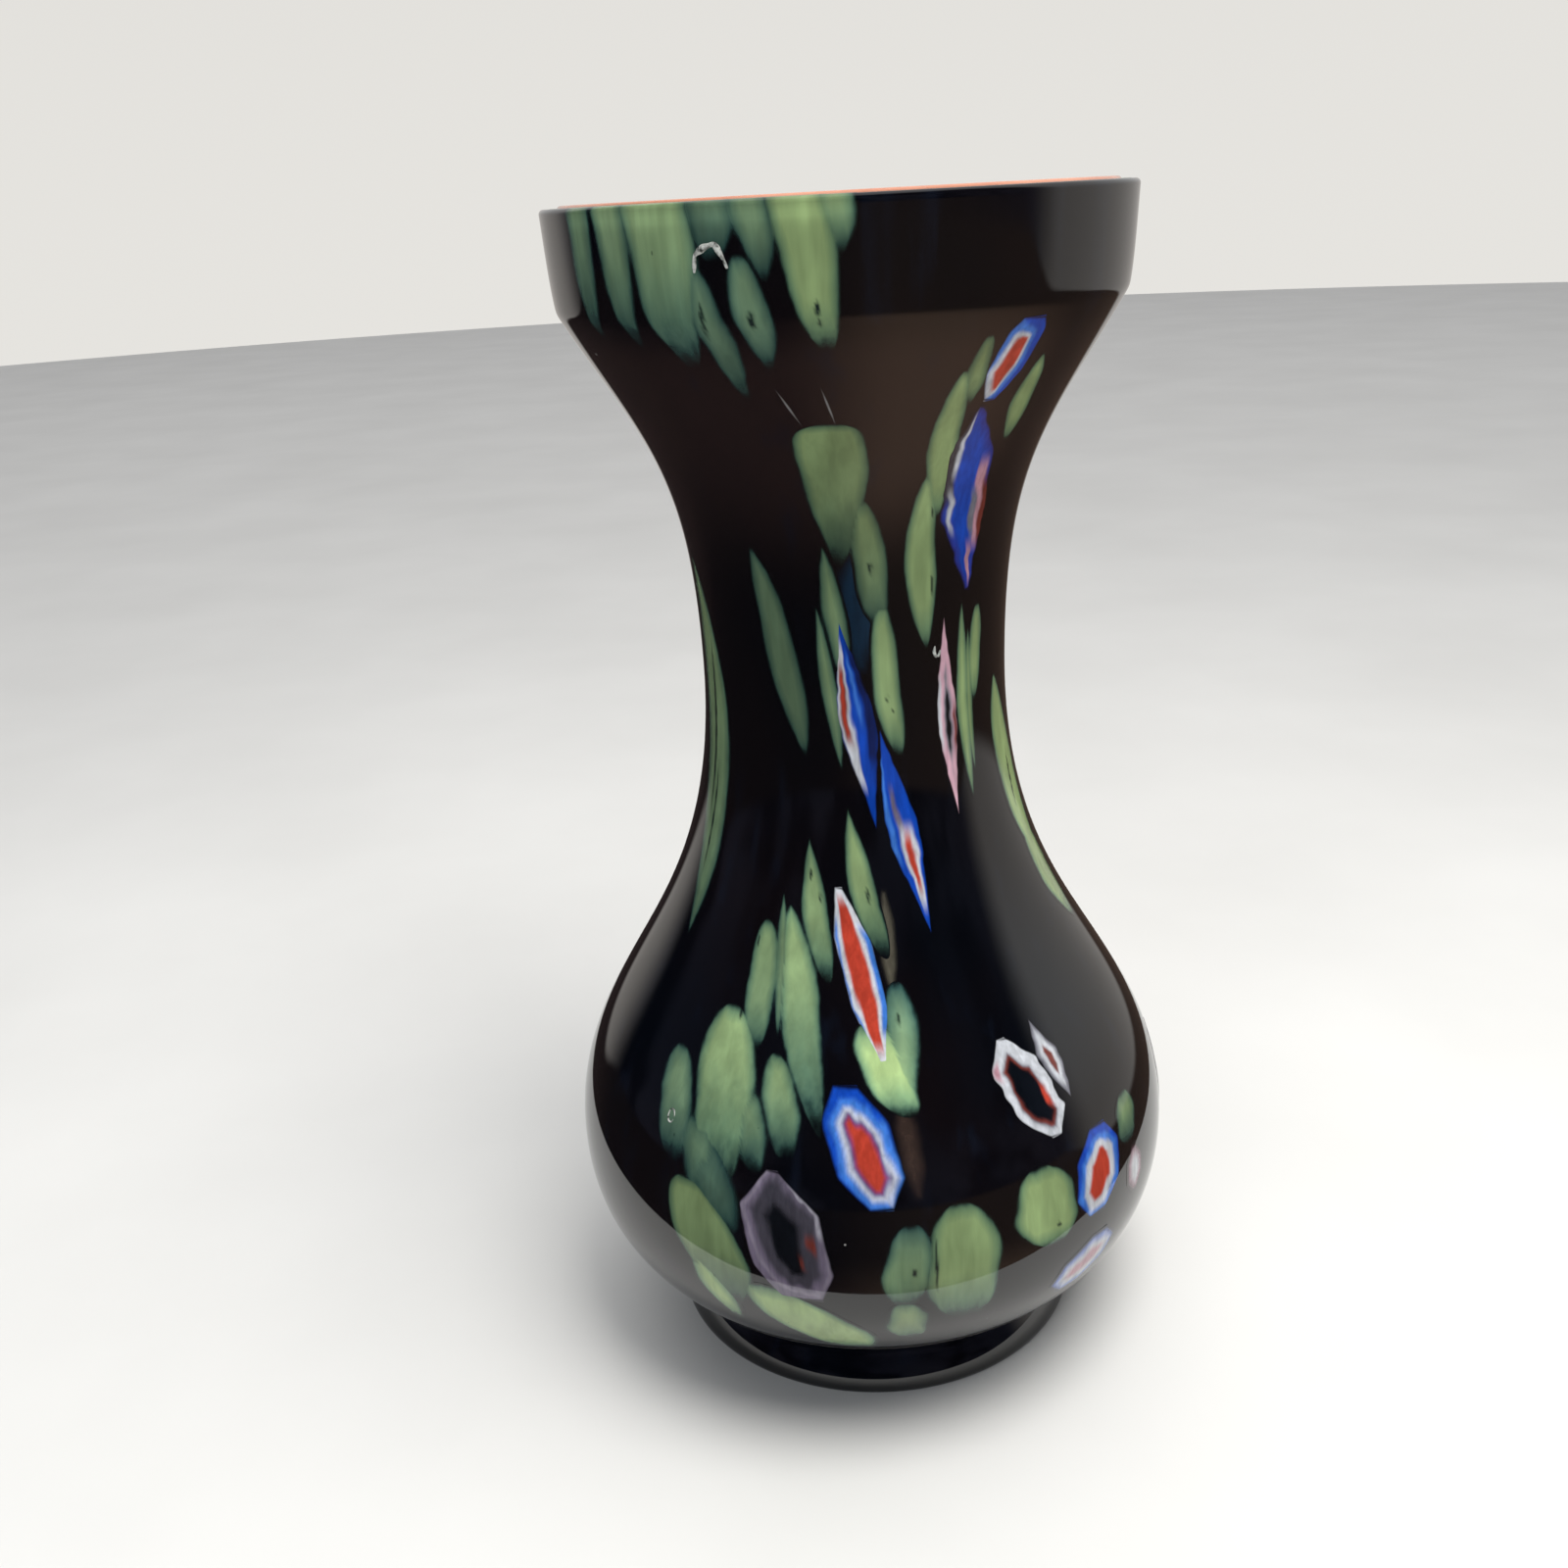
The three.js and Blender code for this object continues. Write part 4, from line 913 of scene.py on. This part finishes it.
def wspan(value, a, b, to_a=0.0, to_b=1.0):
    inputs = {"Value": value, "From Min": a, "From Max": b, "To Min": to_a, "To Max": to_b}
    return wnode("ShaderNodeMapRange", inputs, interpolation_type="SMOOTHSTEP").outputs["Result"]


def wmix(factor, a, b):
    node = wnode("ShaderNodeMix", data_type="RGBA")
    for key, value in ((0, factor), (6, a), (7, b)):
        if isinstance(value, bpy.types.NodeSocket):
            wt.links.new(value, node.inputs[key])
        else:
            node.inputs[key].default_value = value if key == 0 else (*value, 1.0)
    return node.outputs[2]


# a studio that is pale behind and to the sides, dim in front so that dark glass stays dark, and
# brown below, as over a wooden table
ray = wnode("ShaderNodeSeparateXYZ", {"Vector": wnode("ShaderNodeTexCoord").outputs["Generated"]})
side, ahead, up = ray.outputs["X"], ray.outputs["Y"], ray.outputs["Z"]
flat = wmath("SQRT", wmath("ADD", wmath("MULTIPLY", side, side), wmath("MULTIPLY", ahead, ahead)))
along = wmath("DIVIDE", ahead, wmath("MAXIMUM", flat, 0.001))
on_right = wmath("GREATER_THAN", side, 0.0)
bright_right = wspan(along, -0.30, 0.02)
bright_left = wspan(along, 0.42, 0.72)
bright = wmath("ADD", wmath("MULTIPLY", bright_right, on_right), wmath("MULTIPLY", bright_left, wmath("SUBTRACT", 1.0, on_right)))
shapes = wnode("ShaderNodeTexNoise", {"Vector": wnode("ShaderNodeTexCoord").outputs["Generated"], "Scale": 2.6, "Detail": 2.0})
front = wmix(wspan(up, -0.05, 0.55), (0.050, 0.054, 0.085), (0.010, 0.017, 0.036))
front = wmix(wspan(shapes.outputs["Fac"], 0.40, 0.62), (0.004, 0.006, 0.014), front)
walls = wmix(wspan(up, -0.1, 0.3), (0.55, 0.52, 0.49), (0.70, 0.70, 0.70))
sky = wmix(bright, front, walls)
wood_side = wmix(on_right, (0.13, 0.080, 0.070), (0.42, 0.27, 0.19))
wood = wmix(bright, wmix(wspan(side, -0.35, 0.35), (0.05, 0.030, 0.032), (0.42, 0.28, 0.20)), wood_side)
wood = wmix(wspan(up, -0.48, -0.84), wmix(0.8, wood, (0.012, 0.012, 0.014)), wood)
table_edge = wmath("MULTIPLY_ADD", bright, 0.12, up)
sky = wmix(wspan(table_edge, -0.09, -0.13), sky, wood)
sky = wmix(wspan(up, 0.80, 0.97), sky, (0.80, 0.81, 0.83))
backdrop = wmix(wspan(up, -0.1, 0.6), (0.79, 0.775, 0.74), (0.70, 0.685, 0.655))
sky = wmix(wnode("ShaderNodeLightPath").outputs["Is Camera Ray"], sky, backdrop)
background = wnode("ShaderNodeBackground", {"Color": sky, "Strength": 1.0})
wt.links.new(background.outputs[0], wnode("ShaderNodeOutputWorld").inputs["Surface"])


def soft_light(name, position, aim, size, power, color=(1.0, 1.0, 1.0), mirrored=False):
    data = bpy.data.lights.new(name, "AREA")
    data.shape = "DISK"
    data.size = size * MM
    data.energy = power
    data.color = color
    obj = bpy.data.objects.new(name, data)
    bpy.context.scene.collection.objects.link(obj)
    obj.location = Vector(position) * MM + Vector(AXIS.tolist())
    obj.rotation_euler = (Vector(aim) * MM + Vector(AXIS.tolist()) - obj.location).to_track_quat("-Z", "Y").to_euler()
    obj.visible_glossy = mirrored
    return obj


soft_light("key_overhead", (160, -160, 640), (0, 0, 90), 360, 3.9, (1.0, 0.985, 0.95))
soft_light("fill_front", (-260, -560, 330), (0, 0, 90), 420, 1.6, (0.93, 0.97, 1.0))
soft_light("ceiling", (0, 400, 2600), (0, 400, 0), 3200, 26.0, (1.0, 0.995, 0.98))

# the viewpoint: distance, height, turn, tilt and roll
EYE = np.array([0.0, -241.3, 189.5])
TURN, TILT, ROLL = (math.radians(a) for a in (-2.95, -20.89, -3.115))
forward = np.array([math.sin(TURN) * math.cos(TILT), math.cos(TURN) * math.cos(TILT), math.sin(TILT)])
level_right = np.array([math.cos(TURN), -math.sin(TURN), 0.0])
level_up = np.cross(level_right, forward)
cam_right = math.cos(ROLL) * level_right + math.sin(ROLL) * level_up
cam_up = -math.sin(ROLL) * level_right + math.cos(ROLL) * level_up
camera_data = bpy.data.cameras.new("camera")
camera_data.sensor_width = 36.0
camera_data.lens = 35.24
camera_data.clip_start = 0.01
camera = bpy.data.objects.new("camera", camera_data)
bpy.context.scene.collection.objects.link(camera)
spot = EYE * MM + AXIS
camera.matrix_world = Matrix((
    (cam_right[0], cam_up[0], -forward[0], spot[0]),
    (cam_right[1], cam_up[1], -forward[1], spot[1]),
    (cam_right[2], cam_up[2], -forward[2], spot[2]),
    (0.0, 0.0, 0.0, 1.0),
))
bpy.context.scene.camera = camera
bpy.context.scene.view_settings.view_transform = "Standard"
